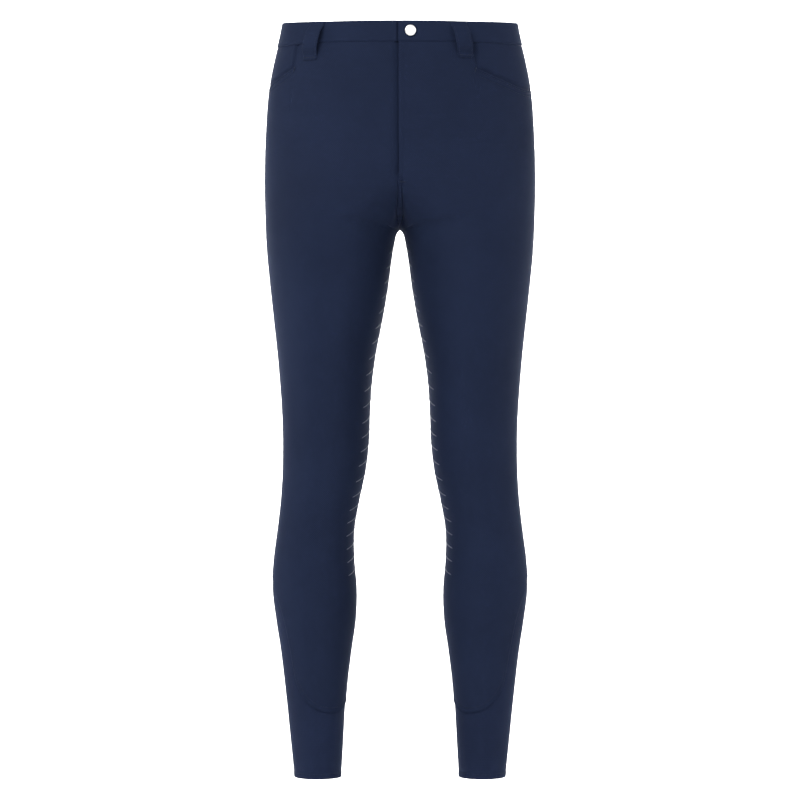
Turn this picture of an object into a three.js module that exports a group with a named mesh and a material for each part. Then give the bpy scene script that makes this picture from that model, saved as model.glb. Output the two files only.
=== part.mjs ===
// Men's riding breeches, filled out as if worn, with nothing inside them.
// Millimetres. +X is the wearer's left, +Y the back, +Z up. The origin is the middle of the waist.
import * as THREE from "three";
import { mergeVertices } from "three/addons/utils/BufferGeometryUtils.js";

// Cloth walls and the spaces between them
const CLOTH = 1.4; // panel wall
const BAND_OUT = 0.6; // how far the waistband stands out over the panels
const BAND_IN = -2.0; // inner face of the waistband
const CUFF_SET_BACK = 0.8; // the thinner cuff cloth lies inside the leg cloth
const CUFF_CLOTH = 1.2;
const HEM_HEIGHT = 8;
const HEM_EXTRA = 0.4; // a turned hem is thicker on both faces
const SEAM_GAP = 0.3;
const CUFF_SEAM_GAP = 0.6; // measured straight up, because this seam climbs steeply

// Heights
const HEM_Z = -967;
const CROTCH_Z = -257;
const FLY_END_Z = -192;
const CROTCH_SOFTENING = 4; // rounds the fork between the thighs
// Above these heights the two halves make one smooth front and seat. ease: how softly they part.
const JOIN = {
  front: { z: -148, ease: 1.25 },
  back: { z: -88, ease: 1.86 },
};

// The waistband dips at the front and rises at the back
const BAND_TOP_AT_SIDE = 11.8;
const BAND_TILT = 0.071;
const BAND_HEIGHT = 29.2;
const BAND_FRONT_NARROWING = 4.7;

// Sizes of the figure at each height. outer: half the width at the side seam, gap: half the gap
// between the legs, front and back: depth from the waist's middle, side: where the side seam lies,
// square: 2 is an ellipse and more is squarer.
const FIGURE = [
  { z: 30, outer: 150.0, gap: 0, front: -103, back: 112, side: 5, square: 2.35 },
  { z: 14, outer: 151.4, gap: 0, front: -104, back: 113, side: 5, square: 2.35 },
  { z: -16, outer: 157.4, gap: 0, front: -106, back: 117, side: 6, square: 2.35 },
  { z: -36, outer: 162.0, gap: 0, front: -108, back: 121, side: 6, square: 2.35 },
  { z: -62, outer: 167.3, gap: 0, front: -109, back: 126, side: 7, square: 2.34 },
  { z: -88, outer: 170.8, gap: 0, front: -110, back: 131, side: 8, square: 2.32 },
  { z: -127, outer: 173.4, gap: 0, front: -110, back: 136, side: 9, square: 2.3 },
  { z: -166, outer: 174.9, gap: 0, front: -109, back: 138, side: 10, square: 2.27 },
  { z: -205, outer: 175.2, gap: 0, front: -107, back: 136, side: 10, square: 2.24 },
  { z: CROTCH_Z, outer: 173.8, gap: 0, front: -103, back: 122, side: 9, square: 2.2 },
  { z: -272, outer: 173.1, gap: 7.7, front: -101.5, back: 117, side: 9, square: 2.2 },
  { z: -296, outer: 171.3, gap: 11.8, front: -99, back: 109, side: 8, square: 2.18 },
  { z: -335, outer: 167.3, gap: 17.0, front: -95, back: 99, side: 7, square: 2.15 },
  { z: -374, outer: 163.1, gap: 23.7, front: -91, back: 91, side: 5, square: 2.12 },
  { z: -413, outer: 158.8, gap: 31.4, front: -86.5, back: 84, side: 4, square: 2.1 },
  { z: -452, outer: 155.3, gap: 36.9, front: -81.5, back: 77, side: 2, square: 2.1 },
  { z: -491, outer: 152.5, gap: 39.6, front: -76, back: 70, side: 0, square: 2.1 },
  { z: -530, outer: 151.2, gap: 41.0, front: -71, back: 64.5, side: -1, square: 2.1 },
  { z: -569, outer: 151.6, gap: 45.4, front: -65.5, back: 60.5, side: -1, square: 2.08 },
  { z: -608, outer: 154.0, gap: 53.6, front: -58.5, back: 60, side: 2, square: 2.06 },
  { z: -647, outer: 158.6, gap: 60.2, front: -52.5, back: 64.5, side: 7, square: 2.04 },
  { z: -686, outer: 163.4, gap: 60.2, front: -48.5, back: 70.5, side: 12, square: 2.02 },
  { z: -725, outer: 164.9, gap: 57.1, front: -45.5, back: 72, side: 14, square: 2.0 },
  { z: -764, outer: 160.6, gap: 58.4, front: -43, back: 68.5, side: 14, square: 2.0 },
  { z: -803, outer: 154.9, gap: 63.8, front: -41, back: 62, side: 12, square: 2.0 },
  { z: -842, outer: 150.1, gap: 68.6, front: -39.5, back: 56, side: 10, square: 2.0 },
  { z: -881, outer: 145.8, gap: 71.7, front: -38, back: 51, side: 8, square: 2.0 },
  { z: -920, outer: 141.8, gap: 73.7, front: -37, back: 47, side: 6, square: 2.0 },
  { z: -959, outer: 137.7, gap: 76.0, front: -36, back: 44.5, side: 5, square: 2.0 },
  { z: -985, outer: 135.0, gap: 77.8, front: -35.5, back: 43, side: 4, square: 2.0 },
];

// Edges drawn across a panel. across: 0 at the side seam and 1 at the inseam or centre line.
// The lower edge of the leg cloth, where the cuff is sewn in.
const CUFF_SEAM_FRONT = [
  { across: 0, z: -708 },
  { across: 0.07, z: -715 },
  { across: 0.134, z: -729 },
  { across: 0.189, z: -746 },
  { across: 0.232, z: -772 },
  { across: 0.262, z: -806 },
  { across: 0.3, z: -840 },
  { across: 0.37, z: -861 },
  { across: 0.46, z: -873 },
  { across: 0.57, z: -880 },
  { across: 0.72, z: -882 },
  { across: 0.87, z: -878 },
  { across: 1, z: -871 },
];
const CUFF_SEAM_BACK = [
  { across: 0, z: -708 },
  { across: 0.12, z: -707 },
  { across: 0.26, z: -717 },
  { across: 0.4, z: -742 },
  { across: 0.54, z: -784 },
  { across: 0.68, z: -828 },
  { across: 0.82, z: -856 },
  { across: 1, z: -871 },
];
// The scooped pocket mouths run from the side seam to a corner beside the belt loop, and turn up there
// to the waist seam. The right one is shorter and lies further round. columns divide the front panel.
const POCKETS = {
  left: {
    mouth: [
      { across: 0, z: -75.6 },
      { across: 0.12, z: -75.8 },
      { across: 0.227, z: -75.1 },
      { across: 0.308, z: -71.8 },
      { across: 0.386, z: -67.1 },
      { across: 0.485, z: -59.9 },
      { across: 0.545, z: -54.5 },
    ],
    corner: 0.545,
    turn: 0.573,
    columns: [
      0, 0.08, 0.16, 0.21, 0.25, 0.29, 0.36, 0.44, 0.5, 0.545, 0.559, 0.573, 0.66, 0.75, 0.84, 0.93, 1,
    ],
  },
  right: {
    mouth: [
      { across: 0, z: -74.5 },
      { across: 0.076, z: -73 },
      { across: 0.186, z: -68.5 },
      { across: 0.259, z: -64 },
      { across: 0.322, z: -58.5 },
      { across: 0.365, z: -54 },
    ],
    corner: 0.365,
    turn: 0.385,
    columns: [
      0, 0.07, 0.14, 0.19, 0.23, 0.27, 0.32, 0.365, 0.375, 0.385, 0.46, 0.54, 0.63, 0.72, 0.82, 0.93, 1,
    ],
  },
};

// How finely each piece is divided
const BACK_COLUMNS = [0, 0.1, 0.2, 0.3, 0.4, 0.5, 0.6, 0.7, 0.8, 0.9, 1];
const LEG_ROWS = 24;
const RISE_ROWS = 12;
const SIDE_HEIGHT_AT_CROTCH_ROW = CROTCH_Z + 52;

// Hermite interpolation of one column of a table, with the slopes of a Catmull-Rom curve.
function tableColumn(rows, at, key) {
  const table = [...rows].sort((a, b) => a[at] - b[at]);
  const x = table.map((r) => r[at]);
  const y = table.map((r) => (typeof key === "function" ? key(r) : r[key]));
  const last = x.length - 1;
  const slope = x.map((_, i) => {
    const lo = Math.max(i - 1, 0);
    const hi = Math.min(i + 1, last);
    return (y[hi] - y[lo]) / (x[hi] - x[lo]);
  });
  return (t) => {
    if (t <= x[0]) return y[0] + slope[0] * (t - x[0]);
    if (t >= x[last]) return y[last] + slope[last] * (t - x[last]);
    let i = 0;
    while (x[i + 1] < t) i++;
    const h = x[i + 1] - x[i];
    const u = (t - x[i]) / h;
    const u2 = u * u;
    const u3 = u2 * u;
    return (
      (2 * u3 - 3 * u2 + 1) * y[i] +
      (u3 - 2 * u2 + u) * h * slope[i] +
      (3 * u2 - 2 * u3) * y[i + 1] +
      (u3 - u2) * h * slope[i + 1]
    );
  };
}

const clamp = (t, lo = 0, hi = 1) => Math.min(hi, Math.max(lo, t));
const mix = (a, b, t) => a + (b - a) * t;
const smooth = (t) => clamp(t) ** 2 * (3 - 2 * clamp(t));

// Widths are worked on before the crotch is rounded: soften() rounds it and sharpen() undoes that.
const soften = (x) => Math.sqrt(x * x + CROTCH_SOFTENING * x);
const sharpen = (x) => (Math.sqrt(CROTCH_SOFTENING ** 2 + 4 * x * x) - CROTCH_SOFTENING) / 2;

const outerOf = tableColumn(FIGURE, "z", (r) => sharpen(r.outer));
const gapOf = tableColumn(
  FIGURE.filter((r) => r.z <= CROTCH_Z),
  "z",
  (r) => sharpen(r.gap),
);
const frontOf = tableColumn(FIGURE, "z", "front");
const backOf = tableColumn(FIGURE, "z", "back");
const sideOf = tableColumn(FIGURE, "z", "side");
const squareOf = tableColumn(FIGURE, "z", "square");

// One half's section at height z, front or back: a superellipse about (cx, cy). Above the crotch it
// reaches past the centre plane, where it is cut.
function sectionAt(z, half) {
  const outer = outerOf(z);
  const cy = sideOf(z);
  const depth = half === "front" ? cy - frontOf(z) : backOf(z) - cy;
  const square = squareOf(z);
  let centre = 0;
  if (z <= CROTCH_Z) {
    centre = (outer + Math.max(0, gapOf(z))) / 2;
  } else {
    const join = JOIN[half];
    const below = clamp((join.z - z) / (join.z - CROTCH_Z)) ** join.ease;
    centre = (outer * below) / (1 + below);
  }
  return { cx: centre, rx: outer - centre, cy, ry: half === "front" ? -depth : depth, square };
}

function sectionPoint(s, turn) {
  const c = Math.cos(turn);
  const x = s.cx + s.rx * Math.sign(c) * Math.abs(c) ** (2 / s.square);
  const y = s.cy + s.ry * Math.abs(Math.sin(turn)) ** (2 / s.square);
  return [soften(Math.max(0, x)), y];
}

// The arc of a section from the side seam to the inseam or centre plane, measured along the cloth.
const ARC_STEPS = 60;
const arcs = new Map();
function arcAt(z, half) {
  const key = half + z.toFixed(4);
  if (arcs.has(key)) return arcs.get(key);
  const section = sectionAt(z, half);
  const cut = z > CROTCH_Z ? (section.cx / section.rx) ** (section.square / 2) : 1;
  const end = Math.acos(-Math.min(1, cut));
  const lengths = [0];
  let before = sectionPoint(section, 0);
  for (let i = 1; i <= ARC_STEPS; i++) {
    const here = sectionPoint(section, (end * i) / ARC_STEPS);
    lengths.push(lengths[i - 1] + Math.hypot(here[0] - before[0], here[1] - before[1]));
    before = here;
  }
  const arc = { section, end, lengths, length: lengths[ARC_STEPS] };
  arcs.set(key, arc);
  return arc;
}

// A point of the outer face at height z, a share of the way across. Past 1 it goes on over the centre.
function skin(half, z, across) {
  const arc = arcAt(z, half);
  const share = across > 1 ? 2 - across : Math.max(0, across);
  const wanted = share * arc.length;
  let i = 0;
  while (i < ARC_STEPS - 1 && arc.lengths[i + 1] < wanted) i++;
  const part = (wanted - arc.lengths[i]) / (arc.lengths[i + 1] - arc.lengths[i]);
  const [x, y] = sectionPoint(arc.section, (arc.end * (i + part)) / ARC_STEPS);
  return new THREE.Vector3(across > 1 ? -x : x, y, z);
}

// Below 0 inside the figure and above 0 outside it. Its gradient is the cloth's normal.
function figureField(x, y, z) {
  const s = sectionAt(z, y < sideOf(z) ? "front" : "back");
  const across = Math.abs(sharpen(Math.abs(x)) - s.cx) / s.rx;
  return (across ** s.square + Math.abs((y - s.cy) / s.ry) ** s.square) ** (1 / s.square);
}

function skinNormal(p) {
  const h = 0.4;
  const slope = (dx, dy, dz) =>
    figureField(p.x + dx, p.y + dy, p.z + dz) - figureField(p.x - dx, p.y - dy, p.z - dz);
  return new THREE.Vector3(slope(h, 0, 0), slope(0, h, 0), slope(0, 0, h)).normalize();
}

// A point that lies a distance out from the outer face.
function cloth(half, z, across, out) {
  const p = skin(half, z, across);
  return p.addScaledVector(skinNormal(p), out);
}

// Where across the section the cloth is x from the centre plane.
function acrossAtX(half, z, x) {
  let lo = 0;
  let hi = 1;
  for (let i = 0; i < 40; i++) {
    const middle = (lo + hi) / 2;
    if (skin(half, z, middle).x > Math.abs(x)) lo = middle;
    else hi = middle;
  }
  return x < 0 ? 2 - lo : lo;
}

// Heights of the waistband's two edges depend on how far forward the cloth is.
const bandTop = (y) => BAND_TOP_AT_SIDE + BAND_TILT * y;
const bandSeam = (y) =>
  bandTop(y) - BAND_HEIGHT + BAND_FRONT_NARROWING * clamp(-y / -frontOf(0)) ** 2;
function heightOn(edge, half, across) {
  let z = edge(0);
  for (let i = 0; i < 4; i++) z = edge(skin(half, z, across).y);
  return z;
}

const cuffSeam = {
  front: tableColumn(CUFF_SEAM_FRONT, "across", "z"),
  back: tableColumn(CUFF_SEAM_BACK, "across", "z"),
};
const mouthCurve = {
  left: tableColumn(POCKETS.left.mouth, "across", "z"),
  right: tableColumn(POCKETS.right.mouth, "across", "z"),
};

// Height of a front panel's upper edge: the pocket mouth, then its turn, then the waist seam.
function frontEdge(side, across) {
  const { corner, turn } = POCKETS[side];
  const seam = heightOn(bandSeam, "front", across);
  const upTurn = clamp((across - corner) / (turn - corner));
  return mix(mouthCurve[side](Math.min(across, corner)), seam, upTurn);
}

// The rise: heights along the centre seam from the crotch to the waist, evenly spaced on the cloth.
function riseHeights(half) {
  const top = heightOn(bandSeam, half, 1);
  const steps = 400;
  const walk = [{ z: CROTCH_Z, length: 0 }];
  let before = skin(half, CROTCH_Z, 1);
  for (let i = 1; i <= steps; i++) {
    const z = mix(CROTCH_Z, top, (i / steps) ** 2);
    const here = skin(half, z, 1);
    walk.push({ z, length: walk[i - 1].length + here.distanceTo(before) });
    before = here;
  }
  const whole = walk[steps].length;
  const heights = [];
  for (let row = 0; row <= RISE_ROWS; row++) {
    const wanted = (whole * row) / RISE_ROWS;
    let i = 0;
    while (i < steps - 1 && walk[i + 1].length < wanted) i++;
    const part = (wanted - walk[i].length) / (walk[i + 1].length - walk[i].length);
    heights.push(mix(walk[i].z, walk[i + 1].z, part));
  }
  return heights;
}
const rise = { front: riseHeights("front"), back: riseHeights("back") };

// Height of a row of a leg panel at a place across it. Rows follow the cuff seam at the bottom, dip to
// the crotch, and end at the waist seam or the pocket mouth.
function rowHeight(half, side, row, across) {
  const rows = LEG_ROWS + RISE_ROWS;
  const lowSide = cuffSeam[half](0);
  const lowInner = cuffSeam[half](1);
  const up = row / LEG_ROWS;
  const topSide = heightOn(bandSeam, half, 0);
  const inRise = (row - LEG_ROWS) / RISE_ROWS;
  const outer =
    row <= LEG_ROWS
      ? mix(lowSide, SIDE_HEIGHT_AT_CROTCH_ROW, up)
      : mix(SIDE_HEIGHT_AT_CROTCH_ROW, topSide, inRise);
  const inner = row <= LEG_ROWS ? mix(lowInner, CROTCH_Z, up) : rise[half][row - LEG_ROWS];
  const even = mix(outer, inner, smooth(across));
  const bottomShift = cuffSeam[half](across) - mix(lowSide, lowInner, smooth(across));
  const edge = half === "front" ? frontEdge(side, across) : heightOn(bandSeam, half, across);
  const topShift = edge - mix(topSide, rise[half][RISE_ROWS], smooth(across));
  return (
    even +
    bottomShift * (1 - smooth(row / (LEG_ROWS * 0.6))) +
    topShift * smooth((row - LEG_ROWS - 2) / (rows - LEG_ROWS - 2))
  );
}

// Closed walls are built from two matching grids of points: the outer face and the inner face.
function wall(outer, inner, ring = false) {
  const rows = outer.length;
  const columns = outer[0].length;
  const points = [...outer.flat(), ...inner.flat()];
  const faces = [];
  const quad = (a, b, c, d) => faces.push(a, b, c, a, c, d);
  const at = (face, i, j) => face * rows * columns + i * columns + (ring ? j % columns : j);
  const cells = ring ? columns : columns - 1;
  for (let i = 0; i < rows - 1; i++) {
    for (let j = 0; j < cells; j++) {
      quad(at(0, i, j), at(0, i, j + 1), at(0, i + 1, j + 1), at(0, i + 1, j));
      quad(at(1, i, j), at(1, i + 1, j), at(1, i + 1, j + 1), at(1, i, j + 1));
    }
  }
  for (let j = 0; j < cells; j++) {
    quad(at(0, 0, j), at(1, 0, j), at(1, 0, j + 1), at(0, 0, j + 1));
    const top = rows - 1;
    quad(at(0, top, j), at(0, top, j + 1), at(1, top, j + 1), at(1, top, j));
  }
  if (!ring) {
    for (let i = 0; i < rows - 1; i++) {
      quad(at(0, i, 0), at(0, i + 1, 0), at(1, i + 1, 0), at(1, i, 0));
      const end = columns - 1;
      quad(at(0, i, end), at(1, i, end), at(1, i + 1, end), at(0, i + 1, end));
    }
  }
  const geometry = new THREE.BufferGeometry();
  geometry.setAttribute("position", new THREE.Float32BufferAttribute(points.flatMap((p) => p.toArray()), 3));
  geometry.setIndex(faces);
  return faceOut(geometry);
}

// Turns every face of a closed geometry over if they point inwards.
function faceOut(geometry) {
  const p = geometry.getAttribute("position");
  const index = geometry.index.array;
  const corner = [new THREE.Vector3(), new THREE.Vector3(), new THREE.Vector3()];
  let volume = 0;
  for (let i = 0; i < index.length; i += 3) {
    corner.forEach((v, k) => v.fromBufferAttribute(p, index[i + k]));
    volume += corner[0].dot(corner[1].cross(corner[2]));
  }
  if (volume < 0) {
    for (let i = 0; i < index.length; i += 3) [index[i + 1], index[i + 2]] = [index[i + 2], index[i + 1]];
  }
  geometry.computeVertexNormals();
  return geometry;
}

const mirrored = (grid) => grid.map((row) => row.map((p) => new THREE.Vector3(-p.x, p.y, p.z)));
const LEFT = "left";
const RIGHT = "right";

// Builds a wall whose points are given by place(i, j, out), once for each face.
function shell(rows, columns, place, outerOut, innerOut, side = LEFT, ring = false) {
  const grid = (out) =>
    Array.from({ length: rows }, (_, i) => Array.from({ length: columns }, (_, j) => place(i, j, out(i, j))));
  const outer = grid(outerOut);
  const inner = grid(innerOut);
  return side === LEFT ? wall(outer, inner, ring) : wall(mirrored(outer), mirrored(inner), ring);
}

// Materials
const clothMaterial = new THREE.MeshStandardMaterial({ color: 0x232b45, roughness: 0.85, metalness: 0 });
const cuffMaterial = new THREE.MeshStandardMaterial({ color: 0x252c47, roughness: 0.8, metalness: 0 });
const buttonMaterial = new THREE.MeshStandardMaterial({ color: 0xe9e8e2, roughness: 0.25, metalness: 1 });

const breeches = new THREE.Group();
function add(name, geometry, material) {
  const mesh = new THREE.Mesh(geometry, material);
  mesh.name = name;
  breeches.add(mesh);
}

// Where a front panel ends at the centre. At the fly the left front laps over the right one.
const FLY_LAP = 3;
function frontEnd(side, z, arcLength) {
  const seam = 1 - SEAM_GAP / 2 / arcLength;
  const lap = smooth((z - FLY_END_Z) / 8);
  const shift = side === LEFT ? FLY_LAP : -FLY_LAP - SEAM_GAP;
  return seam + (lap * shift) / arcLength;
}

function legPanel(half, side) {
  const columns = half === "front" ? POCKETS[side].columns : BACK_COLUMNS;
  const rows = LEG_ROWS + RISE_ROWS + 1;
  const place = (i, j, out) => {
    let z = rowHeight(half, side, i, columns[j]);
    if (i === 0) z += CUFF_SEAM_GAP / 2;
    if (i === rows - 1) z -= SEAM_GAP / 2;
    const length = arcAt(z, half).length;
    const atEnd = j === columns.length - 1;
    let across = columns[j];
    if (j === 0) across = SEAM_GAP / 2 / length;
    if (atEnd && half === "front") across = frontEnd(side, z, length);
    if (atEnd && half === "back") across = 1 - SEAM_GAP / 2 / length;
    return cloth(half, z, across, out);
  };
  return shell(rows, columns.length, place, () => 0, () => -CLOTH, side);
}

// The pocket facing shows above the mouth and runs on under the front panel's edge.
const FACING_STEPS = [-8, 1, 5, 10]; // its lower rows, above the mouth
const FACING_UPPER_ROWS = 3;
const FACING_BESIDE = 0.09; // how far it runs on past the mouth's turn
const FACING_TUCK = -2.1; // its outer face where the panel covers it
const FACING_CLOTH = 1.2;
const FACING_RISE = 8; // over this width it comes up from under the panel
function pocketFacing(side) {
  const { corner, turn } = POCKETS[side];
  const columns = POCKETS[side].columns.filter((across) => across < turn + FACING_BESIDE);
  const steps = FACING_STEPS.length;
  const place = (i, j, out) => {
    const across = columns[j];
    const mouth = mouthCurve[side](Math.min(across, corner));
    const top = heightOn(bandSeam, "front", across) - SEAM_GAP;
    const upper = mix(mouth + FACING_STEPS[steps - 1], top, (i - steps + 1) / FACING_UPPER_ROWS);
    const z = i < steps ? mouth + FACING_STEPS[i] : upper;
    return cloth("front", z, j === 0 ? SEAM_GAP / 2 / arcAt(z, "front").length : across, out);
  };
  const tucked = (i, j) => {
    const above = i < steps ? FACING_STEPS[i] : Infinity;
    const beside = (corner - columns[j]) * arcAt(BAND_TOP_AT_SIDE - BAND_HEIGHT, "front").length;
    return FACING_TUCK * (1 - smooth((Math.min(above, beside) - 1) / FACING_RISE));
  };
  const rows = steps + FACING_UPPER_ROWS;
  return shell(rows, columns.length, place, tucked, (i, j) => tucked(i, j) - FACING_CLOTH, side);
}

// The cuff is one tube of stretch cloth, from the curved seam down to a turned hem.
const CUFF_ROWS = 6;
const HEM_STEP = 0.5; // half the height over which the hem's thickness ends
function cuff(side) {
  const ring = [
    ...POCKETS[side].columns.slice(0, -1).map((across) => ({ half: "front", across })),
    ...BACK_COLUMNS.slice(1).reverse().map((across) => ({ half: "back", across })),
  ];
  const hemTop = HEM_Z + HEM_HEIGHT;
  const heights = (j, i) => {
    const { half, across } = ring[j];
    if (i === 0) return HEM_Z;
    if (i === 1) return hemTop - HEM_STEP;
    return mix(hemTop + HEM_STEP, cuffSeam[half](across) - CUFF_SEAM_GAP / 2, (i - 2) / CUFF_ROWS);
  };
  const place = (i, j, out) => cloth(ring[j].half, heights(j, i), ring[j].across, out);
  const hem = (i) => (i < 2 ? HEM_EXTRA : 0);
  const outer = (i) => -CUFF_SET_BACK + hem(i);
  const inner = (i) => -CUFF_SET_BACK - CUFF_CLOTH - hem(i);
  return shell(CUFF_ROWS + 3, ring.length, place, outer, inner, side, true);
}

// The waistband is one strip. Its left end laps over its right end, which steps in behind it.
const BAND_HALF_COLUMNS = 15;
const UNDERLAP = 34;
const UNDERLAP_STEP = 8;
const BAND_EDGE_ROUNDING = 0.5;
function waistband() {
  const lapZ = heightOn(bandSeam, "front", 1);
  const lapLength = arcAt(lapZ, "front").length;
  const stepIn = BAND_OUT - BAND_IN + SEAM_GAP;
  const places = [{ half: "front", across: 1 + FLY_LAP / lapLength, side: 1, depth: 0 }];
  const walk = (half, side, from, to) => {
    const step = Math.sign(to - from);
    for (let j = from; j !== to + step; j += step) {
      places.push({ half, across: j / BAND_HALF_COLUMNS, side, depth: 0 });
    }
  };
  walk("front", 1, BAND_HALF_COLUMNS - 1, 0);
  walk("back", 1, 1, BAND_HALF_COLUMNS);
  walk("back", -1, BAND_HALF_COLUMNS - 1, 0);
  walk("front", -1, 1, BAND_HALF_COLUMNS - 1);
  const lap = (x, depth) => {
    places.push({ half: "front", across: acrossAtX("front", lapZ, -x), side: -1, depth });
  };
  lap(-FLY_LAP - SEAM_GAP - UNDERLAP_STEP, 0);
  lap(-FLY_LAP - SEAM_GAP, stepIn);
  lap(UNDERLAP / 2, stepIn);
  lap(UNDERLAP, stepIn);
  const rows = 4;
  const place = (i, j, out) => {
    const { half, across, side } = places[j];
    const low = heightOn(bandSeam, half, across) + SEAM_GAP / 2;
    const high = heightOn(bandTop, half, across);
    const p = cloth(half, mix(low, high, i / (rows - 1)), across, out);
    return side < 0 ? p.setX(-p.x) : p;
  };
  const rounded = (i) => (i === rows - 1 ? BAND_EDGE_ROUNDING : 0);
  return shell(
    rows,
    places.length,
    place,
    (i, j) => BAND_OUT - places[j].depth - rounded(i),
    (i, j) => BAND_IN - places[j].depth + rounded(i),
  );
}

// The fly shield closes the opening from behind, below the waistband's underlap.
const SHIELD_COLUMNS = [0.93, 1, 1.07];
const SHIELD_CLOTH = 1.2;
const SHIELD_ABOVE_FLY_END = 13;
const SHIELD_GAP = 0.6; // clear of the front panels, whose faces are flat between their points
function flyShield() {
  const rows = 9;
  const top = heightOn(bandSeam, "front", 1) - 1;
  const place = (i, j, out) => {
    const z = mix(FLY_END_Z + SHIELD_ABOVE_FLY_END, top, i / (rows - 1));
    return cloth("front", z, SHIELD_COLUMNS[j], out);
  };
  const out = -CLOTH - SHIELD_GAP;
  return shell(rows, SHIELD_COLUMNS.length, place, () => out, () => out - SHIELD_CLOTH);
}

// Belt loops: flat strips sewn at both ends and standing off the waistband between them.
const LOOP_WIDTH = 20;
const LOOP_CLOTH = 1.6;
const LOOP_SLACK = 6.5;
// top and bottom: how far from the centre plane the middle of each end is. below: under the waist seam.
const LOOPS = [
  { name: "front_left", half: "front", top: 75.5, bottom: 83.5, below: 17.5, side: LEFT },
  { name: "front_right", half: "front", top: 107.5, bottom: 117.5, below: 20.5, side: RIGHT },
  { name: "back_left", half: "back", top: 88, bottom: 92, below: 17.5, side: LEFT },
  { name: "back_right", half: "back", top: 88, bottom: 92, below: 17.5, side: RIGHT },
  { name: "centre_back", half: "back", top: 0, bottom: 0, below: 17.5, side: LEFT },
];
const LOOP_STATIONS = [0, 0.1, 0.2, 0.32, 0.45, 0.6, 0.74, 0.86, 1];
const LOOP_WIDTHS = [-0.5, -0.17, 0.17, 0.5];
function beltLoop({ half, top, bottom, below, side }) {
  const middle = acrossAtX(half, 0, (top + bottom) / 2);
  const high = heightOn(bandTop, half, middle) - 1;
  const seam = heightOn(bandSeam, half, middle);
  const low = seam - below;
  const base = (z) => SEAM_GAP + BAND_OUT * smooth((z - seam + 6) / 6);
  const place = (i, j, out) => {
    const t = LOOP_STATIONS[i];
    const z = mix(low, high, t);
    const x = mix(bottom, top, t);
    const length = arcAt(z, half).length;
    const centre = x === 0 ? 1 : acrossAtX(half, z, x);
    const across = centre - (LOOP_WIDTHS[j] * LOOP_WIDTH) / length;
    const slack = LOOP_SLACK * smooth(Math.sin(Math.PI * clamp((t - 0.08) / 0.86)) * 1.15);
    return cloth(half, z, across, out + base(z) + slack);
  };
  return shell(LOOP_STATIONS.length, LOOP_WIDTHS.length, place, () => LOOP_CLOTH, () => 0, side);
}

// A domed metal button on the left end of the waistband.
const BUTTON_X = 13.3;
const BUTTON_Z = -7.8;
const BUTTON_RADIUS = 7.5;
function button() {
  const profile = [
    [0, 0], [4.6, 0], [4.6, 0.7], [6.6, 0.8], [BUTTON_RADIUS, 1.5], [BUTTON_RADIUS, 2.2],
    [6.9, 2.75], [5.9, 2.7], [4.4, 3.05], [2.4, 3.3], [0, 3.4],
  ].map(([r, h]) => new THREE.Vector2(r, h));
  const turned = new THREE.LatheGeometry(profile, 28);
  turned.deleteAttribute("normal");
  turned.deleteAttribute("uv");
  const geometry = mergeVertices(turned, 1e-4);
  const across = acrossAtX("front", BUTTON_Z, BUTTON_X);
  const seat = cloth("front", BUTTON_Z, across, BAND_OUT + SEAM_GAP);
  const out = skinNormal(skin("front", BUTTON_Z, across));
  const turn = new THREE.Quaternion().setFromUnitVectors(new THREE.Vector3(0, 1, 0), out);
  geometry.applyQuaternion(turn);
  geometry.translate(seat.x, seat.y, seat.z);
  return faceOut(geometry);
}

for (const side of [LEFT, RIGHT]) {
  add("front_" + side, legPanel("front", side), clothMaterial);
  add("back_" + side, legPanel("back", side), clothMaterial);
  add("pocket_facing_" + side, pocketFacing(side), clothMaterial);
  add("cuff_" + side, cuff(side), cuffMaterial);
}
add("waistband", waistband(), clothMaterial);
add("fly_shield", flyShield(), clothMaterial);
for (const loop of LOOPS) add("belt_loop_" + loop.name, beltLoop(loop), clothMaterial);
add("button", button(), buttonMaterial);

export default breeches;
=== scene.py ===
"""Men's riding breeches: the fine cloth, sewing, grip lines and button over the breeches' frame.

Shapes are worked out in millimetres, in the frame's own axes, and written to meshes in metres.
"""
import math
from functools import partial

import bpy
import numpy as np
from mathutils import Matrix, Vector


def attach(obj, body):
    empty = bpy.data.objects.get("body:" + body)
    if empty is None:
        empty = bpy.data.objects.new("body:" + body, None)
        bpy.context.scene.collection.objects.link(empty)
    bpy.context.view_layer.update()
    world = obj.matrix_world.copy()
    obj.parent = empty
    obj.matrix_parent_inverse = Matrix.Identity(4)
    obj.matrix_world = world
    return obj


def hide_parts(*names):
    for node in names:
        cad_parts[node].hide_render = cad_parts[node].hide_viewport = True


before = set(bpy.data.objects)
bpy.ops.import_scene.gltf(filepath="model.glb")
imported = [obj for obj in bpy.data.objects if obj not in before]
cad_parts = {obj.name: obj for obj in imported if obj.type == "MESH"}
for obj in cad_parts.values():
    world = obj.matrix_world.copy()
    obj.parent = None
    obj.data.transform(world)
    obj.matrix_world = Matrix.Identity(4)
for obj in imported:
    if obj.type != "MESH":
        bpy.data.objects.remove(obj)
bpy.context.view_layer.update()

bl_info = {
    "name": "Riding Breeches",
    "version": (1, 0, 0),
    "blender": (4, 5, 0),
    "location": "View3D > Sidebar > Breeches",
    "description": "Builds the cloth, sewing, grip lines and button of a pair of riding breeches",
    "category": "Object",
}

BODY = "root"
MM = 0.001
SIDES = ("left", "right")

# Walls, the same as in the frame
CLOTH = 1.4
BAND_OUT = 0.6
BAND_IN = -2.0
CUFF_SET_BACK = 0.8
CUFF_CLOTH = 1.2
FACING_CLOTH = 1.2
SHIELD_CLOTH = 1.2
HEM_HEIGHT = 8
HEM_EXTRA = 0.4

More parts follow.
